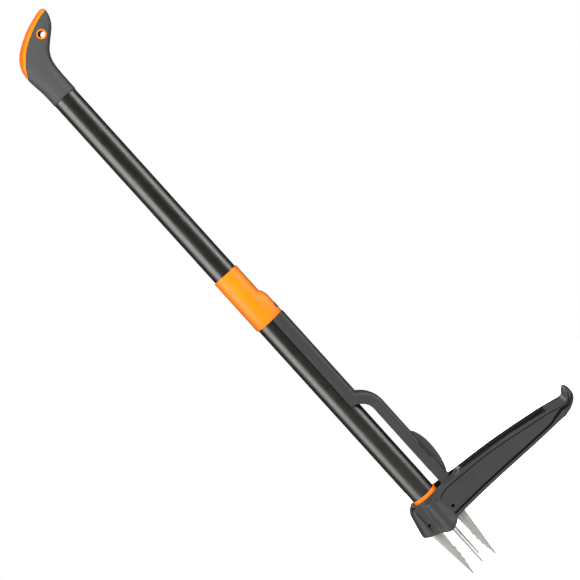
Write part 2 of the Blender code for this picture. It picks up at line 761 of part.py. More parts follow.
def rod_section(spread):
    """(outward, y) points of the rod; spread 1 widens it to the section of the upper arm."""
    width = ROD_X1 - ROD_X0
    near_tube, far_out = lerp(ROD_HALF, 17.8, spread), lerp(ROD_HALF, 15.2, spread)
    front_r = lerp(7.0, 9.0, spread)
    back = arc(1.6, near_tube - 1.6, 1.6, 90.0, 180.0, 3)
    front = arc(width - front_r, far_out - front_r, front_r, 0.0, 90.0, 7)
    upper = front + back
    return upper + [(u, -y) for u, y in reversed(upper)]


def rod_and_bend():
    inner_r = ROD_X0 - BEND_X
    rings = []
    for z in (ROD_Z0, 120.0, 200.0):
        rings.append([(ROD_X0 + u, y, z) for u, y in rod_section(0.0)])
    for step in range(13):
        angle = 6.5 * step
        c, s = bend_frame(angle)
        section = rod_section(smooth_step((angle - 8.0) / 56.0))
        rings.append([(BEND_X + (inner_r + u) * c, y, BEND_Z + (inner_r + u) * s) for u, y in section])
    return loft(rings)


def fin_edge(z):
    half = FIN_Z1 - FIN_PEAK_Z if z > FIN_PEAK_Z else FIN_PEAK_Z - FIN_Z0
    share = max(1.0 - ((z - FIN_PEAK_Z) / half) ** 2, 0.0)
    return ROD_X1 + (FIN_PEAK_X - ROD_X1) * share ** 0.75


def fin_outline(grow):
    root = 43.0 - grow
    steps = 18
    heights = [lerp(FIN_Z0, FIN_Z1, i / steps) for i in range(1, steps)]
    outline = [(root, FIN_Z0 - grow), (ROD_X1 - 0.6, FIN_Z0 - grow)]
    outline += [(fin_edge(z) + grow, z) for z in heights]
    outline += [(ROD_X1 - 0.6, FIN_Z1 + grow), (root, FIN_Z1 + grow)]
    return outline


def cam_fin():
    return prism_y(fin_outline(0.0), -FIN_HALF, FIN_HALF)


def ejector_arm():
    arm = prism_z(channel_outline(), 290.0, SLEEVE_Z0 - GAP)
    below_mitre = [(-10.0, 284.8), (44.0, 323.8), (44.0, 270.0), (-10.0, 270.0)]
    cut(arm, prism_y(below_mitre, -40.0, 40.0))
    tongue = box((19.0, -5.5, SLEEVE_Z0 - 14.0), (22.4, 5.5, 492.0))
    add(arm, rod_and_bend(), tongue)
    pocket_outline = arc(0.0, 453.5, 3.4, 0.0, 180.0, 8) + arc(0.0, 433.5, 3.4, 180.0, 360.0, 8)
    recess = loft([[(x, y, z) for y, z in pocket_outline] for x in (23.4, 30.0)])
    groove = prism_y(fin_outline(GAP), -FIN_HALF - GAP, FIN_HALF + GAP)
    window = box((43.4, -20.0, 169.7), (45.3, 20.0, 196.7))
    cut(arm, cylinder(TUBE_R + GAP, 280.0, SLEEVE_Z1, segments=96), recess, groove, window)
    cut(arm, cylinder(2.15, 15.0, 30.0, "X", (0.0, SCREW_Z), 20))
    for y in (-PLATE_SCREW_Y, PLATE_SCREW_Y):
        cut(arm, cylinder(1.6, ROD_Z0 - 5.0, ROD_Z0 + 12.0, centre=(38.0, y), segments=16))
    return arm


def ejector_plate():
    plate = cylinder(PLATE_R, PLATE_Z0, PLATE_Z1, centre=(PLATE_X, 0.0), segments=48)
    add(plate, box((4.0, -8.0, PLATE_Z0), (46.0, 8.0, PLATE_Z1)))
    half = PLATE_SLOT_HALF
    low, high = PLATE_Z0 - 5.0, PLATE_Z1 + 5.0
    cut(
        plate,
        box((PLATE_X + PLATE_HUB_R, -half, low), (31.6, half, high)),
        box((-40.0, -half, low), (PLATE_X - PLATE_HUB_R, half, high)),
        box((-half, PLATE_HUB_R, low), (half, 40.0, high)),
        box((-half, -40.0, low), (half, -PLATE_HUB_R, high)),
    )
    for y in (-PLATE_SCREW_Y, PLATE_SCREW_Y):
        cut(plate, cylinder(1.8, low, high, centre=(38.0, y), segments=16))
        cut(plate, cylinder(2.9, low, PLATE_Z0 + 1.8, centre=(38.0, y), segments=20))
    return plate


def plate_screw(y):
    head = cylinder(2.6, PLATE_Z0, PLATE_Z0 + 1.5, centre=(38.0, y), segments=20)
    add(head, cylinder(1.4, PLATE_Z0 + 1.0, ROD_Z0 + 9.0, centre=(38.0, y), segments=16))
    slot = box((35.0, y - 0.35, PLATE_Z0 - 1.0), (41.0, y + 0.35, PLATE_Z0 + 0.7))
    return cut(head, slot)


# ---------------------------------------------------------------- the whole tool


def build_shaft(looks):
    finish_piece(shaft_tube(), "shaft_tube", looks["graphite"])
    finish_piece(foot_pin(), "foot_pin", looks["steel"])
    finish_piece(collar_ring(), "collar_ring", looks["orange"])
    finish_piece(grip_body(), "grip_body", looks["grip"])
    finish_piece(grip_pad(), "grip_pad", looks["orange"])
    finish_piece(hang_eyelet(), "hang_eyelet", looks["orange"])
    finish_piece(claw_carrier(), "claw_carrier", looks["nylon"])
    finish_piece(tilt_pin(), "pedal_tilt_pin", looks["steel"])


def build_blades(looks):
    settings = (
        ("right", 0, RIGHT_BLADE_SHIFT, 0.8), ("far", 1, 0.0, SHORT_BLADE_TIP_Z),
        ("left", 2, 0.0, 0.0), ("near", 3, 0.0, SHORT_BLADE_TIP_Z),
    )
    for side, turns, shift, tip_z in settings:
        radius = SIDE_PIN_X if turns % 2 == 0 else FRONT_PIN_Y
        a = math.radians(90.0 * turns)
        pivot = (radius * math.cos(a), radius * math.sin(a), BLADE_PIN_Z)
        finish_piece(blade_pin(turns), "blade_pin_" + side, looks["steel"])
        finish_piece(blade(turns, shift, tip_z), "blade_" + side, looks["blade"], pivot)


def build_pedal(looks):
    pivot = (0.0, 0.0, TILT_Z)
    finish_piece(pedal_housing(), "pedal_housing", looks["nylon"], pivot)
    finish_piece(cam_follower(), "cam_follower", looks["wear"], pivot)


def build_ejector(looks):
    pivot = (0.0, 0.0, SLEEVE_Z0)
    finish_piece(ejector_sleeve(), "ejector_sleeve", looks["orange"], pivot)
    finish_piece(sleeve_screw(), "sleeve_screw", looks["nylon"], pivot)
    finish_piece(ejector_arm(), "ejector_arm", looks["nylon"], pivot)
    finish_piece(cam_fin(), "cam_fin", looks["nylon"], pivot)
    finish_piece(ejector_plate(), "ejector_plate", looks["steel"], pivot)
    for side, y in (("near", -PLATE_SCREW_Y), ("far", PLATE_SCREW_Y)):
        finish_piece(plate_screw(y), "plate_screw_" + side, looks["steel"], pivot)


def main():
    clear_scene()
    looks = {
        "graphite": material("graphite_paint", (0.055, 0.055, 0.055), 0.38, 0.6),
        "orange": material("orange_plastic", (0.95, 0.36, 0.01), 0.45),
        "grip": material("soft_grey", (0.105, 0.105, 0.11), 0.62),
        "nylon": material("black_nylon", (0.07, 0.07, 0.075), 0.55),
        "wear": material("grey_acetal", (0.2, 0.2, 0.2), 0.5),
        "steel": material("zinc_steel", (0.55, 0.55, 0.55), 0.35, 1.0),
        "blade": material("satin_stainless", (0.62, 0.62, 0.58), 0.33, 1.0),
    }
    build_shaft(looks)
    build_blades(looks)
    build_pedal(looks)
    build_ejector(looks)


main()
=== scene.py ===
"""Looks of a stand up weeder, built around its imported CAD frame.

Shapes are drawn in millimetres in the tool's own drawing: X runs from the tube's axis towards the
pedal, Y runs away from the near side, and Z is the height above the tip of the left blade.
place() turns them into metres, with the origin at the middle of the hanging hole.
"""

import math

import bmesh
import bpy
from mathutils import Matrix, Vector


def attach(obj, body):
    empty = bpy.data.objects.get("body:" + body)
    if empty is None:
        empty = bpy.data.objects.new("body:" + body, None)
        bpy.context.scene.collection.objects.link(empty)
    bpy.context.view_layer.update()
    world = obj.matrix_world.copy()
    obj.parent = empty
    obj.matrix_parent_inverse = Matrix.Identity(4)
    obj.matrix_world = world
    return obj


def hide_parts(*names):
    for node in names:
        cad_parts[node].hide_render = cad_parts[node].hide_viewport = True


MM = 0.001
GAP = 0.3

# Hanging hole, which is the origin
HANG_X, HANG_Z = 35.8, 972.9
HANG_HOLE_R = 5.0
EYELET_HALF, SHADE_SHEET_HALF = 13.0, 12.0
EYELET_R = 7.3

# Tube and the orange ring at its foot
TUBE_R = 18.5
TUBE_WALL = 1.5
TUBE_Z0, TUBE_Z1 = 127.7, 888.2
RING_R = 20.1
RING_Z0, RING_Z1 = 128.0, 137.0
FOOT_PIN_Z = 132.5

# Grip
GRIP_Z0 = 888.5
SPIGOT_LEN = 40.0
PAD_SEAM = 0.2

# Hinges
TILT_Z = 117.5
TILT_PIN_R = 4.0
TILT_PIN_END = 27.3
BOSS_R, BOSS_END = 7.0, 28.9
BLADE_PIN_Z = 99.5
BLADE_PIN_R = 2.0
SIDE_PIN_X = 22.0
FRONT_PIN_Y = 21.0

# Blades
BLADE_HALF = 1.25
BLADE_ROOT_Z = 78.0
RIGHT_BLADE_SHIFT = -3.5
SHORT_BLADE_TIP_Z = 11.5
BUMP_COUNT = 5
BUMP_TOP_Z, BUMP_LOW_Z = 49.5, 10.0
BUMP_DEPTH = 1.5

# Head moulding
HEAD_Z0, HEAD_Z1 = 79.5, 131.0
HEAD_HALF = 25.5
HEAD_SHOULDER_X = -22.0
HEAD_END_X = 17.0
BULGE_X = 0.5
HOLLOW = 2.75
HOLLOW_X = -24.5
WALL = 2.8
DECK = 3.2
PIN_HOLE_R = 2.6

# Opening around the tube and the rod
OPEN_TUBE_R = 22.4
OPEN_ROD_X, OPEN_ROD_R = 44.5, 11.0
RIM_WIDTH = 2.3
RIM_TOP = 132.3
FIN_NOTCH_X = 58.5
FIN_NOTCH_HALF = 2.2

# Pedal stations: X, top, bottom, half width, height of the top rim, top of the bottom rim
PEDAL = (
    (10.0, 130.3, 83.2, 23.4, 15.0, 89.4),
    (15.0, 130.6, 83.7, 25.1, 12.0, 89.6),
    (19.0, 130.8, 84.0, 25.1, 9.0, 89.8),
    (25.0, 130.9, 84.2, 24.8, 6.8, 90.0),
    (34.0, 130.8, 84.6, 24.0, 5.7, 90.4),
    (48.0, 130.4, 84.9, 22.0, 5.5, 90.7),
    (62.0, 129.8, 85.1, 20.0, 5.5, 91.0),
    (80.0, 129.0, 85.5, 18.5, 5.5, 91.3),
    (103.0, 127.7, 86.0, 17.9, 5.4, 91.7),
    (125.0, 125.5, 86.8, 18.8, 5.1, 92.4),
    (147.0, 122.8, 87.5, 20.1, 4.8, 93.0),
    (172.0, 119.2, 88.4, 21.8, 4.3, 94.0),
    (199.6, 115.0, 89.9, 23.5, 3.5, 95.2),
    (212.0, 112.4, 90.7, 24.3, 3.0, 98.6),
    (225.0, 109.7, 90.9, 25.2, 2.4, 102.2),
)
# Toe stations: bottom X, Z, top X, Z, half width, height of the top rim, top of the bottom rim
TOE = (
    (225.0, 90.9, 225.0, 109.7, 25.2, 2.4, 102.2),
    (237.0, 94.4, 235.4, 107.4, 25.8, 1.9, 104.2),
    (244.4, 98.2, 240.6, 108.6, 25.3, 2.0, 104.0),
    (249.3, 101.8, 244.0, 113.0, 23.6, 2.6, 105.4),
    (252.3, 105.4, 247.2, 116.8, 21.0, 3.0, 108.2),
    (253.9, 109.2, 250.0, 118.7, 17.6, 2.8, 111.0),
    (254.2, 112.4, 252.3, 117.6, 14.0, 1.8, 113.6),
)
TOE_STEPS = 12
RECESS = 2.4
RECESS_START, RECESS_FULL = 8.0, 14.0
DECK_DROP = 1.0
DECK_START = 60.0
SLOT_X0, SLOT_X1 = 66.0, 206.0
SLOT_HALF0, SLOT_HALF1 = 5.0, 6.4
CHANNEL_DEPTH = 14.0
RIB_X = (64.0, 100.0, 136.0, 172.0, 205.0)
RIB = 3.0
CAVITY_END_X = 57.5
TAB_X0, TAB_X1 = 58.6, 65.0
TAB_HALF = 7.0
TAB_Z0, TAB_Z1 = 124.0, 131.6

# Ejector
SLEEVE_R = 20.4
SLEEVE_Z0, SLEEVE_Z1 = 466.0, 557.0
SLEEVE_BORE_R = 18.8
SLEEVE_BUMP_X = 25.5
SCREW_Z = 477.5
SCREW_HEAD_R = 5.9
SCREW_SEAT_X = 23.4
CHANNEL_FRONT_X = 8.4
CHANNEL_X = 26.1
ROD_X0, ROD_X1 = 29.6, 46.6
ROD_HALF = 9.0
BEND_X, BEND_Z = 4.4, 275.0
ROD_Z0 = 86.3
FIN_Z0, FIN_Z1 = 138.5, 216.0
FIN_PEAK_X, FIN_PEAK_Z = 55.5, 183.0
FIN_HALF = 1.5
PLATE_SCREW_Y = 5.0


# ---------------------------------------------------------------- mesh tools


def object_from(bm, name="tool"):
    bmesh.ops.recalc_face_normals(bm, faces=bm.faces)
    mesh = bpy.data.meshes.new(name)
    bm.to_mesh(mesh)
    bm.free()
    made = bpy.data.objects.new(name, mesh)
    bpy.context.scene.collection.objects.link(made)
    return made


def loft(rings):
    """A closed solid through rings of equal length, capped at both ends."""
    bm = bmesh.new()
    loops = [[bm.verts.new(point) for point in ring] for ring in rings]
    count = len(loops[0])
    for low, high in zip(loops, loops[1:]):
        for i in range(count):
            j = (i + 1) % count
            bm.faces.new((low[i], low[j], high[j], high[i]))
    bm.faces.new(list(reversed(loops[0])))
    bm.faces.new(loops[-1])
    return object_from(bm)


def prism_z(outline, low, high):
    """An outline of (x, y) points, extruded along Z."""
    return loft([[(x, y, z) for x, y in outline] for z in (low, high)])


def prism_y(outline, low, high):
    """An outline of (x, z) points, extruded along Y."""
    return loft([[(x, y, z) for x, z in outline] for y in (low, high)])


def turned(profile, segments=64):
    """A closed (r, z) profile turned about Z, with no point on the axis."""
    bm = bmesh.new()
    loops = []
    for i in range(segments):
        angle = math.tau * i / segments
        c, s = math.cos(angle), math.sin(angle)
        loops.append([bm.verts.new((r * c, r * s, z)) for r, z in profile])
    count = len(profile)
    for i in range(segments):
        here, after = loops[i], loops[(i + 1) % segments]
        for a in range(count):
            b = (a + 1) % count
            bm.faces.new((here[a], after[a], after[b], here[b]))
    return object_from(bm)


def cylinder(radius, low, high, axis="Z", centre=(0.0, 0.0), segments=32):
    """A solid cylinder along an axis; centre gives the other two coordinates in order."""
    ring = [(radius * math.cos(a), radius * math.sin(a)) for a in angles(segments)]
    place = {
        "X": lambda u, v, w: (w, centre[0] + u, centre[1] + v),
        "Y": lambda u, v, w: (centre[0] + u, w, centre[1] + v),
        "Z": lambda u, v, w: (centre[0] + u, centre[1] + v, w),
    }[axis]
    return loft([[place(u, v, w) for u, v in ring] for w in (low, high)])


def box(low, high):
    corners = [(low[0], low[1]), (high[0], low[1]), (high[0], high[1]), (low[0], high[1])]
    return prism_z(corners, low[2], high[2])


def angles(count):
    return [math.tau * i / count for i in range(count)]


def arc(cx, cy, radius, start, end, steps):
    """Points from angle start to end, in degrees, both included."""
    points = []
    for i in range(steps + 1):
        a = math.radians(start + (end - start) * i / steps)
        points.append((cx + radius * math.cos(a), cy + radius * math.sin(a)))
    return points


def combine(target, tool, operation):
    """Applies one Boolean to target with tool, and removes tool."""
    step = target.modifiers.new("combine", "BOOLEAN")
    step.operation = operation
    step.solver = "EXACT"
    step.object = tool
    shown = target.evaluated_get(bpy.context.evaluated_depsgraph_get())
    mesh = bpy.data.meshes.new_from_object(shown)
    target.modifiers.clear()
    old = target.data
    target.data = mesh
    bpy.data.meshes.remove(old)
    bpy.data.objects.remove(tool, do_unlink=True)
    return target


def cut(target, *tools):
    for tool in tools:
        combine(target, tool, "DIFFERENCE")
    return target


def add(target, *tools):
    for tool in tools:
        combine(target, tool, "UNION")
    return target


def lerp(a, b, t):
    return a + (b - a) * t


def smooth_step(t):
    t = min(max(t, 0.0), 1.0)
    return t * t * (3.0 - 2.0 * t)


def spline(points, count):
    """count + 1 points on a Catmull-Rom curve through the given points."""
    dims = len(points[0])
    last = len(points) - 1
    made = []
    for i in range(count + 1):
        s = last * i / count
        k = min(int(s), last - 1)
        t = s - k
        p0, p1 = points[max(k - 1, 0)], points[k]
        p2, p3 = points[k + 1], points[min(k + 2, last)]
        made.append(tuple(
            0.5 * (2 * p1[d] + (p2[d] - p0[d]) * t
                   + (2 * p0[d] - 5 * p1[d] + 4 * p2[d] - p3[d]) * t * t
                   + (3 * p1[d] - p0[d] - 3 * p2[d] + p3[d]) * t ** 3)
            for d in range(dims)
        ))
    return made


SHARP_ANGLE = 32.0


def place(piece, name, slot_name, body, *nodes, look=None, inner=None):
    """Names a piece, moves it to metres in the shared frame, and hangs it on its body for its nodes.

    look is a finish other than the slot's own, and inner is the finish of the faces marked 1, which is
    painted shade.
    """
    mesh = piece.data
    bm = bmesh.new()
    bm.from_mesh(mesh)
    bmesh.ops.remove_doubles(bm, verts=bm.verts, dist=0.004)
    bmesh.ops.dissolve_degenerate(bm, edges=bm.edges, dist=0.002)
    bmesh.ops.transform(bm, matrix=Matrix.Translation((-HANG_X, 0.0, -HANG_Z)), verts=bm.verts)
    bmesh.ops.scale(bm, vec=(MM, MM, MM), verts=bm.verts)
    bm.to_mesh(mesh)
    bm.free()
    mesh.shade_smooth()
    mesh.set_sharp_from_angle(angle=math.radians(SHARP_ANGLE))
    marks = [face.material_index for face in mesh.polygons]
    mesh.materials.clear()
    mesh.materials.append(looks[look or slot_name])
    if inner:
        mesh.materials.append(looks[inner])
        mesh.polygons.foreach_set("material_index", marks)
    piece.name = name
    mesh.name = name
    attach(piece, body)
    if nodes:
        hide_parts(*nodes)
    return piece


def softened(piece, width, segments=2, angle=38.0):
    """Rounds the edges sharper than angle, with width in millimetres."""
    step = piece.modifiers.new("edges", "BEVEL")
    step.width = width
    step.segments = segments
    step.limit_method = "ANGLE"
    step.angle_limit = math.radians(angle)
    step.use_clamp_overlap = True
    step.harden_normals = False
    shown = piece.evaluated_get(bpy.context.evaluated_depsgraph_get())
    mesh = bpy.data.meshes.new_from_object(shown)
    piece.modifiers.clear()
    piece.data = mesh
    return piece


# ---------------------------------------------------------------- camera, floor and light

CAMERA_PLACE = (0.173794, -2.291223, -0.316580)
CAMERA_DOWN, CAMERA_TURN, CAMERA_ROLL = 4.4, 3.9, 42.03
CAMERA_LENS = 101.6
FLOOR_Z = -1.32
FLOOR_R = 2.3
ROOM_LIGHT = 0.07
FRONT_BOX, BACK_BOX = 128.0, 100.0
LEFT_BOX, RIGHT_BOX, TOP_BOX, REAR_BOX = 46.0, 34.0, 18.0, 20.0
LIGHT_AIM = (0.03, 0.0, -0.45)


def make_camera():
    down, turn, roll = (math.radians(a) for a in (CAMERA_DOWN, CAMERA_TURN, CAMERA_ROLL))
    ahead = Vector((
        -math.sin(turn) * math.cos(down), math.cos(turn) * math.cos(down), -math.sin(down)))
    level = Vector((math.cos(turn), math.sin(turn), 0.0))
    upright = level.cross(ahead)
    right = level * math.cos(roll) - upright * math.sin(roll)
    up = level * math.sin(roll) + upright * math.cos(roll)
    data = bpy.data.cameras.new("camera")
    data.sensor_width = 36.0
    data.lens = CAMERA_LENS
    data.clip_end = 30.0
    camera = bpy.data.objects.new("camera", data)
    bpy.context.scene.collection.objects.link(camera)
    camera.matrix_world = Matrix((right, up, -ahead)).transposed().to_4x4()
    camera.location = CAMERA_PLACE
    bpy.context.scene.camera = camera


def area_light(name, place_at, size, size_y, energy, diffuse=True, glossy=True):
    """A softbox aimed at the middle of the tool; diffuse and glossy say which reflections it shows in."""
    data = bpy.data.lights.new(name, "AREA")
    data.shape = "RECTANGLE"
    data.size, data.size_y = size, size_y
    data.energy = energy
    light = bpy.data.objects.new(name, data)
    light.location = place_at
    light.rotation_euler = (Vector(LIGHT_AIM) - Vector(place_at)).to_track_quat("-Z", "Y").to_euler()
    light.visible_diffuse = diffuse
    light.visible_glossy = glossy
    bpy.context.scene.collection.objects.link(light)


def make_studio():
    scene = bpy.context.scene
    scene.view_settings.view_transform = "Standard"
    world = bpy.data.worlds.new("studio")
    world.use_nodes = True
    scene.world = world
    tree = world.node_tree
    backdrop = tree.nodes["Background"]
    backdrop.inputs["Color"].default_value = (1.0, 1.0, 1.0, 1.0)
    backdrop.inputs["Strength"].default_value = 1.0
    room = tree.nodes.new("ShaderNodeBackground")
    room.inputs["Color"].default_value = (0.97, 0.98, 1.0, 1.0)
    room.inputs["Strength"].default_value = ROOM_LIGHT
    path = tree.nodes.new("ShaderNodeLightPath")
    mix = tree.nodes.new("ShaderNodeMixShader")
    tree.links.new(path.outputs["Is Camera Ray"], mix.inputs[0])
    tree.links.new(room.outputs[0], mix.inputs[1])
    tree.links.new(backdrop.outputs[0], mix.inputs[2])
    tree.links.new(mix.outputs[0], tree.nodes["World Output"].inputs[0])
    area_light("front_softbox", (0.0, -2.45, 0.25), 1.2, 1.2, FRONT_BOX, glossy=False)
    area_light("back_softbox", (0.0, 2.6, 0.3), 1.4, 1.4, BACK_BOX, glossy=False)
    area_light("left_softbox", (-1.5, -0.9, -0.3), 1.45, 2.6, LEFT_BOX, diffuse=False)
    area_light("right_softbox", (1.75, -0.3, -0.1), 1.0, 2.6, RIGHT_BOX, diffuse=False)
    area_light("top_softbox", (0.2, -0.5, 2.2), 2.2, 1.6, TOP_BOX)
    area_light("rear_softbox", (-0.6, 2.0, 0.6), 1.2, 2.0, REAR_BOX, diffuse=False)
    ring = [(FLOOR_R * math.cos(a), FLOOR_R * math.sin(a), FLOOR_Z) for a in angles(96)]
    bm = bmesh.new()
    bm.faces.new([bm.verts.new(point) for point in ring])
    floor = object_from(bm, "floor")
    pale = bpy.data.materials.new("floor_paint")
    pale.use_nodes = True
    shader = pale.node_tree.nodes["Principled BSDF"]
    shader.inputs["Base Color"].default_value = (0.3, 0.3, 0.3, 1.0)
    shader.inputs["Roughness"].default_value = 0.9
    shader.inputs["Emission Color"].default_value = (1.0, 1.0, 1.0, 1.0)
    seen = pale.node_tree.nodes.new("ShaderNodeLightPath")
    pale.node_tree.links.new(seen.outputs["Is Camera Ray"], shader.inputs["Emission Strength"])
    floor.data.materials.append(pale)


# ---------------------------------------------------------------- materials


SOCKETS = {"specular_ior_level": "Specular IOR Level", "specular_tint": "Specular Tint"}


class Surface:
    """A Principled material with the noise, grain and edge masks that its finish is mixed from."""

    def __init__(self, name, metallic=0.0, **fixed):
        self.material = bpy.data.materials.new(name)
        self.material.use_nodes = True
        self.tree = self.material.node_tree
        self.shader = self.tree.nodes["Principled BSDF"]
        self.shader.inputs["Metallic"].default_value = metallic
        for key, value in fixed.items():
            self.shader.inputs[SOCKETS[key]].default_value = value
        self.place = self.tree.nodes.new("ShaderNodeTexCoord").outputs["Object"]
        self.rounded = None

    def link(self, a, b):
        self.tree.links.new(a, b)

    def stretched(self, scale):
        mapping = self.tree.nodes.new("ShaderNodeMapping")
        mapping.inputs["Scale"].default_value = scale
        self.link(self.place, mapping.inputs["Vector"])
        return mapping.outputs[0]

    def noise(self, scale, detail=3.0, roughness=0.55, stretch=None):
        made = self.tree.nodes.new("ShaderNodeTexNoise")
        made.inputs["Scale"].default_value = scale
        made.inputs["Detail"].default_value = detail
        made.inputs["Roughness"].default_value = roughness
        self.link(self.stretched(stretch) if stretch else self.place, made.inputs["Vector"])
        return made.outputs[0]

    def cells(self, scale):
        made = self.tree.nodes.new("ShaderNodeTexVoronoi")
        made.inputs["Scale"].default_value = scale
        self.link(self.place, made.inputs["Vector"])
        return made.outputs["Distance"]

    def ranged(self, value, low, high, to_low, to_high):
        made = self.tree.nodes.new("ShaderNodeMapRange")
        for slot_index, number in zip((1, 2, 3, 4), (low, high, to_low, to_high)):
            made.inputs[slot_index].default_value = number
        self.link(value, made.inputs[0])
        return made.outputs[0]

    def maths(self, operation, a, b):
        made = self.tree.nodes.new("ShaderNodeMath")
        made.operation = operation
        for socket, value in zip(made.inputs, (a, b)):
            if isinstance(value, float):
                socket.default_value = value
            else:
                self.link(value, socket)
        return made.outputs[0]

    def edges(self, radius):
        """1 on edges rounder than radius metres, 0 on flats."""
        rounded = self.tree.nodes.new("ShaderNodeBevel")
        rounded.samples = 8
        rounded.inputs["Radius"].default_value = radius
        self.rounded = rounded.outputs[0]
        facing = self.tree.nodes.new("ShaderNodeNewGeometry")
        dot = self.tree.nodes.new("ShaderNodeVectorMath")
        dot.operation = "DOT_PRODUCT"
        self.link(rounded.outputs[0], dot.inputs[0])
        self.link(facing.outputs["Normal"], dot.inputs[1])
        return self.ranged(dot.outputs["Value"], 0.985, 0.90, 0.0, 1.0)

    def mixed(self, factor, a, b):
        made = self.tree.nodes.new("ShaderNodeMix")
        made.data_type = "RGBA"
        self.link(factor, made.inputs[0])
        for socket, value in ((made.inputs[6], a), (made.inputs[7], b)):
            if isinstance(value, tuple):
                socket.default_value = (*value, 1.0)
            else:
                self.link(value, socket)
        return made.outputs[2]

    def bump(self, height, distance, strength=1.0, under=None):
        made = self.tree.nodes.new("ShaderNodeBump")
        made.inputs["Strength"].default_value = strength
        made.inputs["Distance"].default_value = distance
        self.link(height, made.inputs["Height"])
        if under is not None:
            self.link(under, made.inputs["Normal"])
        return made.outputs[0]

    def finish(self, colour, roughness, normal):
        self.link(colour, self.shader.inputs["Base Color"])
        self.link(roughness, self.shader.inputs["Roughness"])
        self.link(normal, self.shader.inputs["Normal"])
        return self.material


def shades(colour, spread):
    return tuple(c * (1.0 - spread) for c in colour), tuple(min(c * (1.0 + spread), 1.0) for c in colour)


def moulded(name, colour, roughness, spread=0.08, grain=2600.0, depth=0.00003, wear=0.35, **fixed):
    """Moulded plastic: fine spark-eroded grain, faint flow mottling, and slightly polished, paler edges."""
    s = Surface(name, **fixed)
    dark, light = shades(colour, spread)
    flow = s.ranged(s.noise(28.0, 4.0, 0.6, (1.0, 1.0, 0.35)), 0.3, 0.7, 0.0, 1.0)
    specks = s.ranged(s.noise(1900.0, 2.0), 0.42, 0.62, 0.0, 1.0)
    body = s.mixed(flow, dark, light)
    body = s.mixed(s.maths("MULTIPLY", specks, 0.35), body, tuple(0.78 * c for c in colour))
    edge = s.edges(0.0007)
    scuffs = s.ranged(s.noise(260.0, 5.0, 0.7, (1.0, 1.0, 0.4)), 0.52, 0.7, 0.0, 1.0)
    worn = s.maths("MULTIPLY", edge, s.ranged(s.noise(90.0, 4.0), 0.35, 0.65, wear * 0.4, wear))
    pale = tuple(min(1.0, 1.25 * c + 0.02) for c in colour)
    shade = s.mixed(worn, body, pale)
    rough = s.ranged(s.noise(140.0, 4.0), 0.25, 0.75, roughness - 0.05, roughness + 0.06)
    rough = s.maths("SUBTRACT", rough, s.maths("MULTIPLY", worn, 0.14))
    rough = s.maths("ADD", rough, s.maths("MULTIPLY", scuffs, 0.05))
    pits = s.cells(grain)
    normal = s.bump(pits, depth, 0.55, s.rounded)
    normal = s.bump(s.noise(45.0, 2.0), 0.0004, 0.12, normal)
    return s.finish(shade, rough, normal)


def painted_metal(name, colour, roughness, **fixed):
    """Metallic paint: flake, light orange peel, hairline handling marks and rubbed edges."""
    s = Surface(name, metallic=0.96, **fixed)
    s.shader.inputs["Specular Tint"].default_value = (0.5, 0.5, 0.5, 1.0)
    dark, light = shades(colour, 0.12)
    flake = s.ranged(s.noise(5200.0, 1.0), 0.35, 0.65, 0.0, 1.0)
    cloud = s.ranged(s.noise(14.0, 3.0, 0.5, (1.0, 1.0, 0.25)), 0.3, 0.7, 0.0, 1.0)
    body = s.mixed(flake, dark, light)
    body = s.mixed(s.maths("MULTIPLY", cloud, 0.35), body, tuple(0.85 * c for c in colour))
    edge = s.edges(0.0006)
    worn = s.maths("MULTIPLY", edge, 0.5)
    body = s.mixed(worn, body, (0.42, 0.42, 0.42))
    hair = s.ranged(s.noise(1.0, 3.0, 0.6, (2400.0, 2400.0, 26.0)), 0.58, 0.74, 0.0, 1.0)
    rough = s.ranged(s.noise(70.0, 4.0), 0.3, 0.7, roughness - 0.035, roughness + 0.045)
    rough = s.maths("ADD", rough, s.maths("MULTIPLY", hair, 0.07))
    normal = s.bump(s.noise(60.0, 2.0), 0.00002, 0.1)
    normal = s.bump(flake, 0.000001, 0.1, normal)
    return s.finish(body, rough, normal)


def brushed(name, colour, roughness, stretch, tint, metallic=1.0, **fixed):
    """Brushed or plated steel: fine grinding lines, slow cloudy tone and bright edges."""
    s = Surface(name, metallic=metallic, **fixed)
    dark, light = shades(colour, 0.09)
    lines = s.ranged(s.noise(1.0, 4.0, 0.65, stretch), 0.3, 0.7, 0.0, 1.0)
    cloud = s.ranged(s.noise(42.0, 4.0, 0.6), 0.3, 0.7, 0.0, 1.0)
    body = s.mixed(lines, dark, light)
    body = s.mixed(s.maths("MULTIPLY", cloud, 0.4), body, tint)
    edge = s.edges(0.0005)
    body = s.mixed(s.maths("MULTIPLY", edge, 0.3), body, (0.74, 0.74, 0.72))
    rough = s.maths("ADD", s.ranged(lines, 0.0, 1.0, roughness - 0.07, roughness + 0.06),
                    s.ranged(cloud, 0.0, 1.0, -0.03, 0.04))
    normal = s.bump(lines, 0.000012, 0.5, s.rounded)
    normal = s.bump(s.noise(320.0, 2.0), 0.00003, 0.15, normal)
    return s.finish(body, rough, normal)


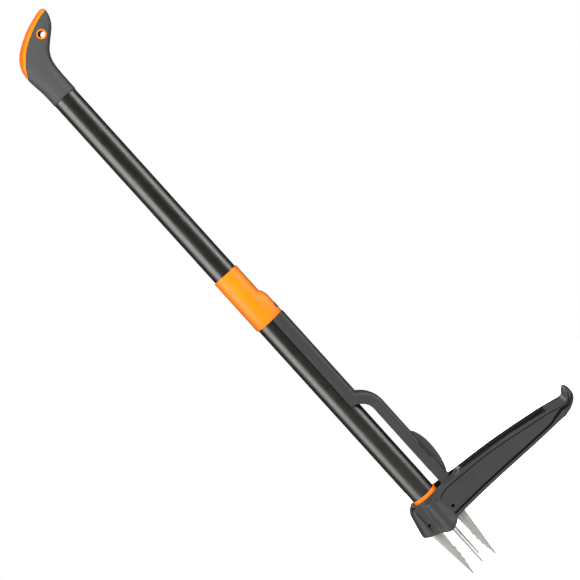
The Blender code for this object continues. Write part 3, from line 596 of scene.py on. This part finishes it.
def make_looks():
    orange = (0.97, 0.198, 0.002)
    return {
        "graphite_paint": painted_metal("graphite_paint", (0.1, 0.1, 0.095), 0.34),
        "orange_plastic": moulded(
            "orange_plastic", orange, 0.4, 0.03, 3200.0, 0.000006, 0.2, specular_ior_level=0.35),
        "pad_band": moulded(
            "pad_band", orange, 0.42, 0.03, 2200.0, 0.000006, 0.15, specular_ior_level=0.3),
        # painted shade: the pad's crown gets a darker, redder copy of the orange for the shade on its curved
        # back; the band by the seam keeps the plain orange
        "orange_soft": moulded(
            "orange_soft", (0.97, 0.125, 0.002), 0.48, 0.04, 2200.0, 0.00001, 0.15, specular_ior_level=0.3),
        "grip_grey": moulded(
            "grip_grey", (0.052, 0.0525, 0.053), 0.55, 0.06, 2000.0, 0.00003, 0.3, specular_ior_level=0.28),
        "black_nylon": moulded(
            "black_nylon", (0.036, 0.036, 0.0365), 0.44, 0.1, 2400.0, 0.00003, 0.6, specular_ior_level=0.28),
        # painted shade: a near-black copy of the nylon for the pedal's opening, slot, deck strip, groove
        # walls, holes and inside, and for the carrier
        "nylon_painted_shade": moulded(
            "nylon_painted_shade", (0.006, 0.006, 0.006), 0.7, 0.15, 2400.0, 0.00003, 0.1, specular_ior_level=0.08),
        # painted highlight: a lighter grey for the cam tab, for the light on its upward face
        "grey_acetal": moulded("grey_acetal", (0.08, 0.08, 0.08), 0.4, 0.06, 4200.0, 0.00001, 0.4),
        "zinc_steel": brushed(
            "zinc_steel", (0.6, 0.6, 0.59), 0.36, (700.0, 700.0, 700.0), (0.52, 0.53, 0.55)),
        "satin_stainless": brushed(
            "satin_stainless", (0.66, 0.66, 0.62), 0.4, (2600.0, 2600.0, 60.0),
            (0.6, 0.595, 0.54), 0.86),
    }


# ---------------------------------------------------------------- shaft and grip


def shaft_tube():
    inner, cut_edge = TUBE_R - TUBE_WALL, 0.3
    profile = [(inner, TUBE_Z0 + cut_edge), (inner + cut_edge, TUBE_Z0)]
    profile += [(TUBE_R - cut_edge, TUBE_Z0), (TUBE_R, TUBE_Z0 + cut_edge)]
    profile += [(TUBE_R, TUBE_Z1 - cut_edge), (TUBE_R - cut_edge, TUBE_Z1)]
    profile += [(inner + cut_edge, TUBE_Z1), (inner, TUBE_Z1 - cut_edge)]
    return turned(profile, 192)


def foot_pin():
    return cylinder(1.5, -TUBE_R, TUBE_R, "X", (0.0, FOOT_PIN_Z), 32)


def collar_ring():
    inner, low, high = TUBE_R + 0.1, RING_Z0, RING_Z1
    profile = [(inner, low), (RING_R - 0.9, low), (RING_R - 0.3, low + 0.3), (RING_R, low + 1.0)]
    profile += [(RING_R, high - 2.0)]
    profile += [(RING_R - 1.3 + x, high - 1.6 + z) for x, z in arc(0.0, 0.0, 1.3, 10.0, 90.0, 7)]
    profile += [(inner + 0.3, high - 0.3), (inner, high - 0.6)]
    return turned(profile, 160)


# Grip sections: back point X, Z, belly point X, Z, half depth in Y
GRIP = (
    (-19.2, 888.5, 19.6, 888.5, 19.4),
    (-19.1, 903.0, 19.5, 903.0, 19.3),
    (-19.8, 916.0, 19.7, 916.0, 19.2),
    (-21.3, 929.0, 20.3, 928.0, 18.8),
    (-22.0, 940.5, 22.4, 940.0, 18.2),
    (-20.8, 951.0, 27.5, 949.9, 17.2),
    (-16.0, 963.2, 34.5, 957.3, 16.0),
    (-7.6, 973.3, 41.2, 963.2, 14.8),
    (4.5, 981.8, 47.0, 968.1, 13.8),
    (19.1, 989.4, 51.7, 972.6, 12.9),
    (32.5, 994.7, 55.6, 977.6, 11.8),
    (43.5, 998.0, 58.5, 983.0, 10.2),
    (50.6, 999.8, 60.4, 988.0, 8.4),
    (55.4, 1000.3, 61.2, 992.2, 6.4),
    (58.6, 999.7, 61.5, 995.2, 4.2),
    (60.4, 998.8, 61.4, 997.2, 1.7),
)
PAD_EDGE = (
    (63.0, 995.9), (59.1, 994.7), (48.5, 992.1), (33.5, 986.7), (22.3, 981.4), (12.6, 976.0),
    (4.5, 970.6), (-1.6, 965.1), (-6.7, 959.7), (-11.5, 954.2), (-15.3, 948.8), (-18.7, 943.3),
    (-21.4, 939.4), (-27.0, 931.5),
)
PAD_BAND = 4.4
SEAM_SHIFT = 1.1
BORE_SKIN = 0.25


def grip_ring(section, shrink=0.0, power=2.35, count=96):
    back_x, back_z, belly_x, belly_z, depth = section
    mid = Vector((0.5 * (back_x + belly_x), 0.0, 0.5 * (back_z + belly_z)))
    across = Vector((belly_x - back_x, 0.0, belly_z - back_z)) * 0.5
    across *= 1.0 - shrink / across.length
    depth -= shrink
    ring = []
    for a in angles(count):
        c, s = math.cos(a), math.sin(a)
        u = math.copysign(abs(c) ** (2.0 / power), c)
        v = math.copysign(abs(s) ** (2.0 / power), s)
        ring.append(mid + across * u + Vector((0.0, depth * v, 0.0)))
    return ring


def grip_solid(shrink=0.0, lip=False):
    rings = []
    for section in spline(GRIP, 105):
        blend = smooth_step((section[0] + 19.0 + section[1] - 905.0) / 40.0)
        power = lerp(2.0, 2.5, blend)
        rings.append(grip_ring(section, shrink, power))
        if lip and len(rings) == 1:
            raised = (section[0], section[1] + 0.7, section[2], section[3] + 0.7, section[4])
            rings = [grip_ring(section, shrink + 0.7, power), grip_ring(raised, shrink, power)]
    return loft(rings)


def pad_region(offset):
    """Everything above the seam between the soft pad and the hard grip, moved up by offset."""
    offset -= SEAM_SHIFT
    seam = [(x - offset * 0.5, z + offset * 0.86) for x, z in spline(PAD_EDGE, 120)]
    return prism_y(seam + [(-60.0, 960.0), (-20.0, 1040.0), (90.0, 1040.0), (90.0, 999.0)], -40.0, 40.0)


def grip_body():
    body = grip_solid(lip=True)
    add(body, cylinder(TUBE_R - TUBE_WALL - GAP, GRIP_Z0 - SPIGOT_LEN, GRIP_Z0 + 4.0, segments=64))
    seat = cylinder(EYELET_R + GAP, -30.0, 30.0, "Y", (HANG_X, HANG_Z), 96)
    return cut(body, pad_region(-PAD_SEAM), seat)


def pad_band():
    pad = combine(grip_solid(), pad_region(PAD_SEAM), "INTERSECT")
    return cut(pad, pad_region(PAD_BAND))


def grip_pad():
    return combine(grip_solid(), pad_region(PAD_BAND + 0.05), "INTERSECT")


def lying_ring(profile):
    """A closed (r, distance along Y) profile turned about the hanging hole."""
    ring = turned(profile, 96)
    ring.data.transform(Matrix.Rotation(math.radians(90.0), 4, "X"))
    ring.data.transform(Matrix.Translation((HANG_X, 0.0, HANG_Z)))
    return ring


def hang_eyelet():
    half, inner = EYELET_HALF, HANG_HOLE_R + BORE_SKIN
    profile = [(inner, -half + 0.9), (inner + 0.3, -half + 0.3), (inner + 0.9, -half)]
    profile += [(EYELET_R - 0.9, -half), (EYELET_R - 0.3, -half + 0.3), (EYELET_R, -half + 0.9)]
    return lying_ring(profile + [(r, -z) for r, z in reversed(profile)])


def eyelet_shade_sheet():
    """A dark sheet inside the eyelet's bore: painted shade of the hole."""
    half, inner = SHADE_SHEET_HALF, HANG_HOLE_R
    return lying_ring([(inner, -half), (inner + BORE_SKIN, -half), (inner + BORE_SKIN, half), (inner, half)])


# ---------------------------------------------------------------- blades


def serrated_edge(shift, fit):
    """Inner edge from below the root down to the tip: round teeth along a gently leaning line."""
    line = [(17.9, BUMP_TOP_Z), (18.5, 33.5), (20.3, 17.0), (21.3, BUMP_LOW_Z)]
    points = []
    per_bump = 12
    steps = per_bump * BUMP_COUNT
    for i, (r, z) in enumerate(spline(line, steps)):
        wave = 0.5 - 0.5 * math.cos(math.tau * i / per_bump)
        fade = lerp(1.15, 0.75, i / steps)
        points.append((r + shift - BUMP_DEPTH * fade * wave ** 0.8, fit(z)))
    return points


def blade_outline(pin_r, shift, tip_z):
    def fit(z):
        return BLADE_ROOT_Z - (BLADE_ROOT_Z - z) * (BLADE_ROOT_Z - tip_z) / BLADE_ROOT_Z

    outline = [(24.1 + shift, fit(1.9)), (32.1 + shift, BLADE_ROOT_Z), (31.2 + shift, 86.0)]
    outline += arc(pin_r, BLADE_PIN_Z, 5.2, -20.0, 100.0, 16)
    outline += [(pin_r - 7.5, 108.6), (pin_r - 9.6, 107.0), (pin_r - 9.4, 97.0)]
    outline += spline(((14.6 + shift, 88.0), (16.1 + shift, 76.6), (16.9 + shift, 62.0)), 8)
    outline += serrated_edge(shift, fit)
    outline += [(21.6 + shift, fit(4.0)), (21.9 + shift, fit(1.0))]
    outline += [(22.9 + shift, fit(0.0)), (23.7 + shift, fit(0.5))]
    return outline


def blade(turns, shift, tip_z):
    """A blade hanging in its slot; turns counts quarter turns from +X."""
    pin_r = SIDE_PIN_X if turns % 2 == 0 else FRONT_PIN_Y
    plate = prism_y(blade_outline(pin_r, shift, tip_z), -BLADE_HALF, BLADE_HALF)
    cut(plate, cylinder(BLADE_PIN_R + 0.15, -5.0, 5.0, "Y", (pin_r, BLADE_PIN_Z), 32))
    softened(plate, 0.3)
    plate.data.transform(Matrix.Rotation(math.radians(90.0) * turns, 4, "Z"))
    return plate


# ---------------------------------------------------------------- pedal

GROOVE_DEPTH, GROOVE_WIDTH = 1.9, 1.7
TOP_FALL = 4.0
BULGE_FALL = 4.4
# The deck's strip of painted shade reaches this far either side of the middle
DARK_DECK = 17.0
# Sides of a pedal_ring section that are the walls of the two grooves round the panel, near then far; they
# get the near-black nylon as painted shade
GROOVE_SIDES = (10, 11, 13, 14, 26, 27, 29, 30)


def head_share(z):
    """0 at the top of the head and 1 at its foot."""
    return (HEAD_Z1 - z) / (HEAD_Z1 - HEAD_Z0)


def head_left(z, inset):
    return -33.3 - 9.0 * min(head_share(z), 0.92) + inset


def head_bulge(x, z):
    """Share of the bulge at x, from 1 on its crest to 0: wider at the foot, with hollow flanks."""
    across = min(abs(x - BULGE_X) / lerp(12.0, 16.6, head_share(z)), 1.0)
    return (1.0 - across ** 2.0) ** 1.35


def head_hollow(x, z):
    """Depth of the shallow hollow that runs from the left lobe to the pedal's side panel."""
    if x < BULGE_X:
        band = smooth_step((z - 80.0) / 12.0)
    else:
        band = smooth_step((z - 86.0) / 3.0) * smooth_step((124.5 - z) / 3.0)
    return HOLLOW * band * smooth_step((x - HOLLOW_X) / 2.5)


def head_half_width(x, z, inset):
    left, shoulder = head_left(z, inset), HEAD_SHOULDER_X
    base = HEAD_HALF - inset
    if x < shoulder:
        reach = min((shoulder - x) / (shoulder - left), 1.0)
        base *= (1.0 - reach ** 2.6) ** (1.0 / 2.6)
    crest = lerp(4.3, 10.5, head_share(z))
    return base + lerp(-head_hollow(x, z), crest, head_bulge(x, z))


# Foot of the head: X, height above HEAD_Z0
FOOT_EASE = 0.3
FOOT_LINE = (
    (-46.0, 9.6), (-37.0, 8.7), (-25.0, 4.7), (-13.0, 0.6), (-8.0, -1.4), (-2.5, -3.0), (1.5, -3.0),
    (5.0, -2.3), (10.5, -0.4), (15.5, 2.9), (19.0, 4.4), (24.0, 5.0),
)


def head_foot(x):
    """How far the foot of the head stands above HEAD_Z0 at x; below zero under the bulge."""
    for (x0, z0), (x1, z1) in zip(FOOT_LINE, FOOT_LINE[1:]):
        if x <= x1:
            share = (x - x0) / (x1 - x0)
            return lerp(z0, z1, smooth_step(share) * FOOT_EASE + (1.0 - FOOT_EASE) * max(share, 0.0))
    return FOOT_LINE[-1][1]


def head_top_fall(x, z):
    """How much the top of the head slopes down, at the left lobe's outer corner and over the bulge."""
    upper = 1.0 - head_share(z)
    corner = TOP_FALL * upper ** 3 * smooth_step((-23.5 - x) / 9.5)
    return corner + BULGE_FALL * upper ** 4 * smooth_step((15.5 - abs(x - BULGE_X)) / 15.0)


def head_ring(z, inset, end_x, shrink=0.0, dive=0.0, lift=0.0):
    left = head_left(z, inset) + shrink
    xs = [lerp(HEAD_SHOULDER_X, left, math.sin(math.radians(a))) for a in range(84, 11, -8)]
    xs += [HOLLOW_X + 0.5 * t for t in range(6)] + [-21.0, -20.0, -18.6, -17.0, -15.6]
    xs += [BULGE_X + t for t in range(-15, 16)]
    near = [(x, -max(head_half_width(x, z, inset) - shrink, 0.5)) for x in xs]
    near.append((end_x - 0.5 * shrink, near[-1][1] + dive))
    outline = [(left, 0.0)] + near + [(x, -y) for x, y in reversed(near)]
    return [(x, y, z + lift * head_foot(x) - head_top_fall(x, z)) for x, y in outline]


def head_outer():
    levels = [(HEAD_Z0, WALL + 2.0), (HEAD_Z0, 1.5), (HEAD_Z0 + 0.35, 0.7)]
    levels += [(HEAD_Z0 + 0.8, 0.25), (HEAD_Z0 + 1.5, 0.0)]
    levels += [(83.0 + 1.5 * step, 0.0) for step in range(30)]
    levels += [(128.2, 0.0), (129.3, 0.25), (130.2, 0.8), (130.7, 1.5), (HEAD_Z1, 2.4)]
    return loft([head_ring(z, 0.0, HEAD_END_X, shrink, 3.0, head_share(z)) for z, shrink in levels])


def head_cavity():
    levels = (HEAD_Z0 - 9.0, HEAD_Z0 - 2.0, 90.0, 95.0, 100.0, 105.0, 110.0, 115.0, 120.0, HEAD_Z1 - DECK)
    return loft([head_ring(z, WALL, HEAD_END_X - 1.0) for z in levels])


def pedal_ring(low, high, half, rim, recess, floor, drop):
    """One section of the pedal, between a bottom and a top point in XZ, with its grooved side recess."""
    height = math.dist(low, high)

    def at(down, y):
        """A point that many millimetres below the top."""
        share = 1.0 - down / height
        return (lerp(low[0], high[0], share), y, lerp(low[1], high[1], share))

    curve = min(height / 12.0, 1.0)
    brow = max(rim, 2.9 * curve)
    base = max(height - max(floor - low[1], 0.06 * height), brow + 4.0 * curve)
    foot = height - base
    inner = half - recess
    groove = inner - GROOVE_DEPTH * recess / RECESS
    width = GROOVE_WIDTH * curve
    near = [
        at(drop, -0.4 * half), at(drop, -(half - 5.4)),
        at(0.25 * drop, -(half - 4.6)), at(0.0, -(half - 3.4)),
        at(0.12 * curve, -(half - 2.4)), at(0.5 * curve, -(half - 1.6)), at(1.0 * curve, -(half - 0.9)),
        at(1.6 * curve, -(half - 0.4)), at(2.2 * curve, -(half - 0.1)), at(brow - 0.4 * curve, -half),
        at(brow, -(half - 0.2)), at(brow + 0.5 * width, -groove), at(brow + width, -inner),
        at(base - 0.8 * width, -inner), at(base - 0.2 * width, -groove),
        at(height - 0.72 * foot, -(half - 0.6 - recess * 0.3)), at(height - 0.55 * foot, -(half - 0.4)),
        at(height - 0.25 * foot, -(half - 0.4)), at(height - 0.1 * foot, -(half - 0.8)),
        at(height, -(half - 1.5)), at(height, -0.4 * half),
    ]
    return near + [(x, -y, z) for x, y, z in reversed(near)]


def pedal_outer():
    rings = []
    for x, top, bottom, half, rim, floor in spline(PEDAL, 84):
        inward = RECESS * smooth_step((x - RECESS_START) / (RECESS_FULL - RECESS_START))
        drop = DECK_DROP * smooth_step((x - DECK_START) / 10.0)
        rings.append(pedal_ring((x, bottom), (x, top), half, rim, inward, floor, drop))
    for step, station in enumerate(spline(TOE, 3 * TOE_STEPS)):
        if step == 0:
            continue
        low_x, low_z, high_x, high_z, half, rim, floor = station
        fade = 1.0 - smooth_step(step / (1.7 * TOE_STEPS))
        inward = lerp(0.4, RECESS, fade)
        rings.append(pedal_ring(
            (low_x, low_z), (high_x, high_z), half, rim, inward, floor, DECK_DROP * fade))
    body = loft(rings)
    sides = len(rings[0])
    # the groove walls get the second, near-black material: painted shade
    for face in body.data.polygons[:sides * (len(rings) - TOE_STEPS)]:
        face.material_index = int(face.index % sides in GROOVE_SIDES)
    return body


def pedal_at(x):
    """Top height and half width of the pedal at x, between its stations."""
    for here, after in zip(PEDAL, PEDAL[1:]):
        if x <= after[0]:
            t = (x - here[0]) / (after[0] - here[0])
            return lerp(here[1], after[1], t), lerp(here[3], after[3], t)
    return PEDAL[-1][1], PEDAL[-1][3]


def pocket(x0, x1, below_top, floor, wall=WALL):
    """A cutter inside the pedal's side walls from x0 to x1, from floor up to below_top under the top."""
    rings = []
    stations = [x0] + [s[0] for s in PEDAL if x0 < s[0] < x1] + [x1]
    for x in stations:
        top, half = pedal_at(x)
        inner = half - RECESS - wall
        z0 = floor if floor is not None else top - CHANNEL_DEPTH
        z1 = top - below_top
        rings.append([(x, -inner, z0), (x, inner, z0), (x, inner, z1), (x, -inner, z1)])
    return loft(rings)


def round_ended_slot():
    outline = arc(SLOT_X1 - SLOT_HALF1, 0.0, SLOT_HALF1, -90.0, 90.0, 24)
    outline += arc(SLOT_X0 + SLOT_HALF0, 0.0, SLOT_HALF0, 90.0, 270.0, 24)
    return prism_z(outline, 100.0, 140.0)


def hull_outline(grow, steps=40):
    """Outline of the opening: a circle about the tube joined by tangents to one about the rod."""
    big, small = OPEN_TUBE_R + grow, OPEN_ROD_R + grow
    tangent = math.degrees(math.acos((big - small) / OPEN_ROD_X))
    outline = arc(OPEN_ROD_X, 0.0, small, -tangent, tangent, steps)
    outline += arc(0.0, 0.0, big, tangent, 360.0 - tangent, 2 * steps)
    return outline


def mark_painted_shade(body):
    """Gives the dark second material, painted shade, to the opening, the slot, the deck, the holes and the
    inside.
    """
    for face in body.data.polygons:
        x, y, z = face.center
        nx, ny, nz = face.normal
        # faces turned towards the middle plane, the deck's underside, and the left lobe's inner wall
        inward = ny * math.copysign(1.0, y) < -0.3
        under = nz < -0.6 and abs(y) < 12.0
        left_wall = x < -24.0 and nx > 0.4 and abs(y) < 28.0
        pin_hole = math.dist((abs(x), z), (SIDE_PIN_X, BLADE_PIN_Z)) < PIN_HOLE_R + 0.05
        opening = math.hypot(x, y) < OPEN_TUBE_R + 0.1 and z < RIM_TOP - 0.6
        deck = nz > 0.6 and SLOT_X0 - 4.0 < x < SLOT_X1 + 2.0 and abs(y) < DARK_DECK
        if inward or under or left_wall or pin_hole or opening or deck:
            face.material_index = 1
    return body


def pedal_housing():
    body = pedal_outer()
    for _ in range(2):  # empty slots, so that the Booleans keep which faces are marked
        body.data.materials.append(None)
    rim = loft([
        [(x, y, z) for x, y in hull_outline(grow)]
        for z, grow in ((HEAD_Z1 - 6.0, RIM_WIDTH), (RIM_TOP - 0.5, RIM_WIDTH), (RIM_TOP, RIM_WIDTH - 0.5))
    ])
    add(body, head_outer(), rim)
    cut(body, head_cavity(), pocket(12.0, CAVITY_END_X, DECK, HEAD_Z0 - 8.0))
    for x0, x1 in zip(RIB_X, RIB_X[1:]):
        cut(body, pocket(x0, x1 - RIB, CHANNEL_DEPTH - 1.0, HEAD_Z0 - 8.0))
    channel = pocket(RIB_X[0] + 1.0, RIB_X[-1] - RIB - 1.0, DECK, None, WALL + 1.0)
    cut(body, channel, round_ended_slot())
    for side in (-1.0, 1.0):
        low, high = sorted((side * 19.9, side * BOSS_END))
        add(body, cylinder(BOSS_R, low, high, "Y", (0.0, TILT_Z), 64))
        low, high = sorted((side * 15.0, side * (TILT_PIN_END + GAP)))
        cut(body, cylinder(TILT_PIN_R + 0.15, low, high, "Y", (0.0, TILT_Z), 32))
    cut(body, prism_z(hull_outline(0.0), HEAD_Z1 - 8.0, RIM_TOP + 5.0))
    for x in (-SIDE_PIN_X, SIDE_PIN_X):
        cut(body, cylinder(PIN_HOLE_R, -45.0, 45.0, "Y", (x, BLADE_PIN_Z), 48))
    notch = box((40.0, -FIN_NOTCH_HALF, 70.0), (FIN_NOTCH_X, FIN_NOTCH_HALF, 150.0))
    return mark_painted_shade(cut(body, notch, tab_pocket(GAP)))


def tab_outline(grow):
    points = [(TAB_X0 - grow, TAB_Z0 - grow), (TAB_X1 + grow, TAB_Z0 - grow)]
    points += arc(TAB_X1 - 2.4, TAB_Z1 - 2.4, 2.4 + grow, 0.0, 90.0, 12)
    points += arc(TAB_X0 + 2.0, TAB_Z1 - 2.0, 2.0 + grow, 90.0, 180.0, 12)
    return points


def tab_pocket(grow):
    outline = [(TAB_X0 - grow, TAB_Z0 - grow), (TAB_X1 + grow, TAB_Z0 - grow)]
    outline += [(TAB_X1 + grow, 140.0), (TAB_X0 - grow, 140.0)]
    return prism_y(outline, -TAB_HALF - grow, TAB_HALF + grow)


def cam_follower():
    """The smooth wear piece at the end of the opening, that the rod's cam bears on."""
    return softened(prism_y(tab_outline(0.0), -TAB_HALF, TAB_HALF), 0.9, 4)


# ---------------------------------------------------------------- ejector


BUMP_Z0, BUMP_RUN = 494.0, 15.0
TONGUE_X, TONGUE_HALF, TONGUE_Z1 = 22.4, 5.5, 492.0
BEND_STEPS, BEND_STEP = 53, 1.5


def sleeve_radius(angle, swell):
    """Outer radius of the sleeve: round, with a bump about +X."""
    off = abs((angle + math.pi) % math.tau - math.pi)
    side = 1.0 - smooth_step((math.degrees(off) - 2.0) / 52.0)
    return SLEEVE_R + (SLEEVE_BUMP_X - SLEEVE_R) * side * swell


def ejector_sleeve():
    levels = [(SLEEVE_Z0, 1.0, 0.7), (SLEEVE_Z0 + 0.3, 1.0, 0.25), (SLEEVE_Z0 + 0.8, 1.0, 0.0)]
    levels += [(BUMP_Z0 + BUMP_RUN * t / 12, (1.0 - (t / 12) ** 2) ** 0.8, 0.0) for t in range(13)]
    levels += [(SLEEVE_Z1 - 0.8, 0.0, 0.0), (SLEEVE_Z1 - 0.3, 0.0, 0.25), (SLEEVE_Z1, 0.0, 0.7)]
    rings = []
    for z, swell, shrink in levels:
        ring = []
        for a in angles(160):
            r = sleeve_radius(a, swell) - shrink
            ring.append((r * math.cos(a), r * math.sin(a), z))
        rings.append(ring)
    beside_tongue = TONGUE_HALF + 0.4
    return cut(
        loft(rings),
        cylinder(SLEEVE_BORE_R, SLEEVE_Z0 - 5.0, SLEEVE_Z1 + 5.0, segments=160),
        box((14.0, -beside_tongue, SLEEVE_Z0 - 5.0), (TONGUE_X + GAP, beside_tongue, TONGUE_Z1 + 1.0)),
        cylinder(SCREW_HEAD_R + GAP, SCREW_SEAT_X, 30.0, "X", (0.0, SCREW_Z), 96),
        cylinder(2.35, 20.0, 30.0, "X", (0.0, SCREW_Z), 32),
    )


def sleeve_screw():
    head = cylinder(SCREW_HEAD_R, SCREW_SEAT_X + GAP, SLEEVE_BUMP_X, "X", (0.0, SCREW_Z), 64)
    add(head, cylinder(2.0, 19.7, SCREW_SEAT_X + 1.0, "X", (0.0, SCREW_Z), 32))
    recess = [(2.4 * math.cos(a), 2.4 * math.sin(a)) for a in angles(6)]
    socket = loft([[(x, y, SCREW_Z + z) for y, z in recess] for x in (SCREW_SEAT_X + 0.9, 27.0)])
    return softened(cut(head, socket), 0.35, 3)


def channel_outline():
    """Section of the upper arm: it wraps the tube's +X side and is rounded outside."""
    bore = TUBE_R + GAP
    reach = math.degrees(math.acos((CHANNEL_FRONT_X + 0.2) / bore))
    inner = arc(0.0, 0.0, bore, reach, -reach, 60)
    outer = [(CHANNEL_FRONT_X, -18.3), (10.6, -18.1), (13.0, -17.6), (15.4, -16.8)]
    outer += arc(16.9, -6.6, 9.2, -78.0, -8.0, 20)
    outer += [(CHANNEL_X, -3.0)]
    outer += [(x, -y) for x, y in reversed(outer)]
    return inner + outer


def bend_frame(angle):
    """Point and outward direction on the bend, from 0 (rod, going down) to 90 degrees."""
    a = math.radians(angle)
    return math.cos(a), math.sin(a)


def rod_section(spread):
    """(outward, y) points of the rod; spread 1 widens it to the section of the upper arm."""
    width = ROD_X1 - ROD_X0
    near_tube, far_out = lerp(ROD_HALF, 17.8, spread), lerp(ROD_HALF, 15.2, spread)
    front_r = lerp(7.0, 9.0, spread)
    back = arc(1.6, near_tube - 1.6, 1.6, 90.0, 180.0, 8)
    front = arc(width - front_r, far_out - front_r, front_r, 0.0, 90.0, 20)
    upper = front + back
    return upper + [(u, -y) for u, y in reversed(upper)]


def rod_and_bend():
    inner_r = ROD_X0 - BEND_X
    rings = []
    for z in (ROD_Z0, ROD_Z0 + 0.6, 120.0, 200.0):
        rings.append([(ROD_X0 + u, y, z) for u, y in rod_section(0.0)])
    for step in range(BEND_STEPS):
        angle = BEND_STEP * step
        c, s = bend_frame(angle)
        section = rod_section(smooth_step((angle - 8.0) / 56.0))
        rings.append([(BEND_X + (inner_r + u) * c, y, BEND_Z + (inner_r + u) * s) for u, y in section])
    return loft(rings)


def fin_edge(z):
    half = FIN_Z1 - FIN_PEAK_Z if z > FIN_PEAK_Z else FIN_PEAK_Z - FIN_Z0
    share = max(1.0 - ((z - FIN_PEAK_Z) / half) ** 2, 0.0)
    return ROD_X1 + (FIN_PEAK_X - ROD_X1) * share ** 0.75


def fin_outline(grow, steps=48):
    root = 43.0 - grow
    heights = [lerp(FIN_Z0, FIN_Z1, i / steps) for i in range(1, steps)]
    outline = [(root, FIN_Z0 - grow), (ROD_X1 - 0.6, FIN_Z0 - grow)]
    outline += [(fin_edge(z) + grow, z) for z in heights]
    outline += [(ROD_X1 - 0.6, FIN_Z1 + grow), (root, FIN_Z1 + grow)]
    return outline


def cam_fin():
    return softened(prism_y(fin_outline(0.0), -FIN_HALF, FIN_HALF), 0.5, 3)


def ejector_arm():
    arm = prism_z(channel_outline(), 290.0, SLEEVE_Z0 - GAP)
    below_mitre = [(-10.0, 284.8), (44.0, 323.8), (44.0, 270.0), (-10.0, 270.0)]
    cut(arm, prism_y(below_mitre, -40.0, 40.0))
    tongue = box((19.0, -TONGUE_HALF, SLEEVE_Z0 - 14.0), (TONGUE_X, TONGUE_HALF, TONGUE_Z1))
    add(arm, rod_and_bend(), tongue)
    pocket_outline = arc(0.0, 453.5, 3.4, 0.0, 180.0, 24) + arc(0.0, 433.5, 3.4, 180.0, 360.0, 24)
    recess = loft([[(x, y, z) for y, z in pocket_outline] for x in (23.4, 30.0)])
    groove = prism_y(fin_outline(GAP), -FIN_HALF - GAP, FIN_HALF + GAP)
    window = box((43.4, -20.0, 169.7), (45.3, 20.0, 196.7))
    cut(arm, cylinder(TUBE_R + GAP, 280.0, SLEEVE_Z1, segments=192), recess, groove, window)
    cut(arm, cylinder(2.15, 15.0, 30.0, "X", (0.0, SCREW_Z), 32))
    for y in (-PLATE_SCREW_Y, PLATE_SCREW_Y):
        cut(arm, cylinder(1.6, ROD_Z0 - 5.0, ROD_Z0 + 12.0, centre=(38.0, y), segments=24))
    return arm


# ---------------------------------------------------------------- the whole tool


def build_shaft():
    place(shaft_tube(), "tube", "graphite_paint", "shaft", "shaft_tube")
    place(foot_pin(), "tube_foot_pin", "zinc_steel", "shaft", "foot_pin")
    place(collar_ring(), "foot_ring", "orange_plastic", "shaft", "collar_ring")
    place(grip_body(), "grip_handle", "grip_grey", "shaft", "grip_body")
    # the pad's crown is a darker, redder orange than the band by the seam: painted shade of its curved back
    place(grip_pad(), "grip_pad_crown", "orange_soft", "shaft", "grip_pad")
    place(pad_band(), "grip_pad_edge", "orange_soft", "shaft", "grip_pad", look="pad_band")
    place(hang_eyelet(), "eyelet", "orange_plastic", "shaft", "hang_eyelet")
    # a black nylon sheet in the eyelet's bore: painted shade of the hole
    place(eyelet_shade_sheet(), "eyelet_hole_shade", "black_nylon", "shaft", "hang_eyelet")


def build_blades():
    settings = (
        ("right", 0, RIGHT_BLADE_SHIFT, 0.8), ("far", 1, 0.0, SHORT_BLADE_TIP_Z),
        ("left", 2, 0.0, 0.0), ("near", 3, 0.0, SHORT_BLADE_TIP_Z),
    )
    for side, turns, shift, tip_z in settings:
        name = "blade_" + side
        place(blade(turns, shift, tip_z), "claw_" + name, "satin_stainless", "claw_" + side, name)


def build_pedal():
    # the pedal's marked faces get the near-black nylon as painted shade
    place(pedal_housing(), "pedal", "black_nylon", "pedal", "pedal_housing", inner="nylon_painted_shade")
    # the cam tab's lighter grey is a painted highlight
    place(cam_follower(), "cam_rest", "grey_acetal", "pedal", "cam_follower")


def build_ejector():
    place(ejector_sleeve(), "sleeve", "orange_plastic", "ejector", "ejector_sleeve")
    place(sleeve_screw(), "sleeve_bolt", "black_nylon", "ejector", "sleeve_screw")
    place(ejector_arm(), "arm", "black_nylon", "ejector", "ejector_arm")
    place(cam_fin(), "arm_fin", "black_nylon", "ejector", "cam_fin")


def keep_cad_pieces():
    """Gives the CAD's own pins, plate, screws and carrier their finish and soft edges; the carrier's
    near-black nylon is painted shade.
    """
    kept = {
        "claw_carrier": ("nylon_painted_shade", 0.4), "pedal_tilt_pin": ("zinc_steel", 0.4),
        "ejector_plate": ("zinc_steel", 0.25), "plate_screw_near": ("zinc_steel", 0.2),
        "plate_screw_far": ("zinc_steel", 0.2),
    }
    for side in ("left", "right", "near", "far"):
        kept["blade_pin_" + side] = ("zinc_steel", 0.25)
    for name, (look, width) in kept.items():
        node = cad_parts[name]
        node.data.materials.clear()
        node.data.materials.append(looks[look])
        step = node.modifiers.new("soft_edges", "BEVEL")
        step.width = width * MM
        step.segments = 2
        step.limit_method = "ANGLE"
        step.angle_limit = math.radians(40.0)


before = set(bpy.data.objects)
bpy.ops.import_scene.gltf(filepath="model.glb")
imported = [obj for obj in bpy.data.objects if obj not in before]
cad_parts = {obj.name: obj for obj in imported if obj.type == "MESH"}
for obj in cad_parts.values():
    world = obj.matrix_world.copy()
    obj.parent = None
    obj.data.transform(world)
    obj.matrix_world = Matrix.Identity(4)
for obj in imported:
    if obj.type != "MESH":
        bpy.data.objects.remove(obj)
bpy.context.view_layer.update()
make_camera()
make_studio()
looks = make_looks()
build_shaft()
build_blades()
build_pedal()
build_ejector()
keep_cad_pieces()
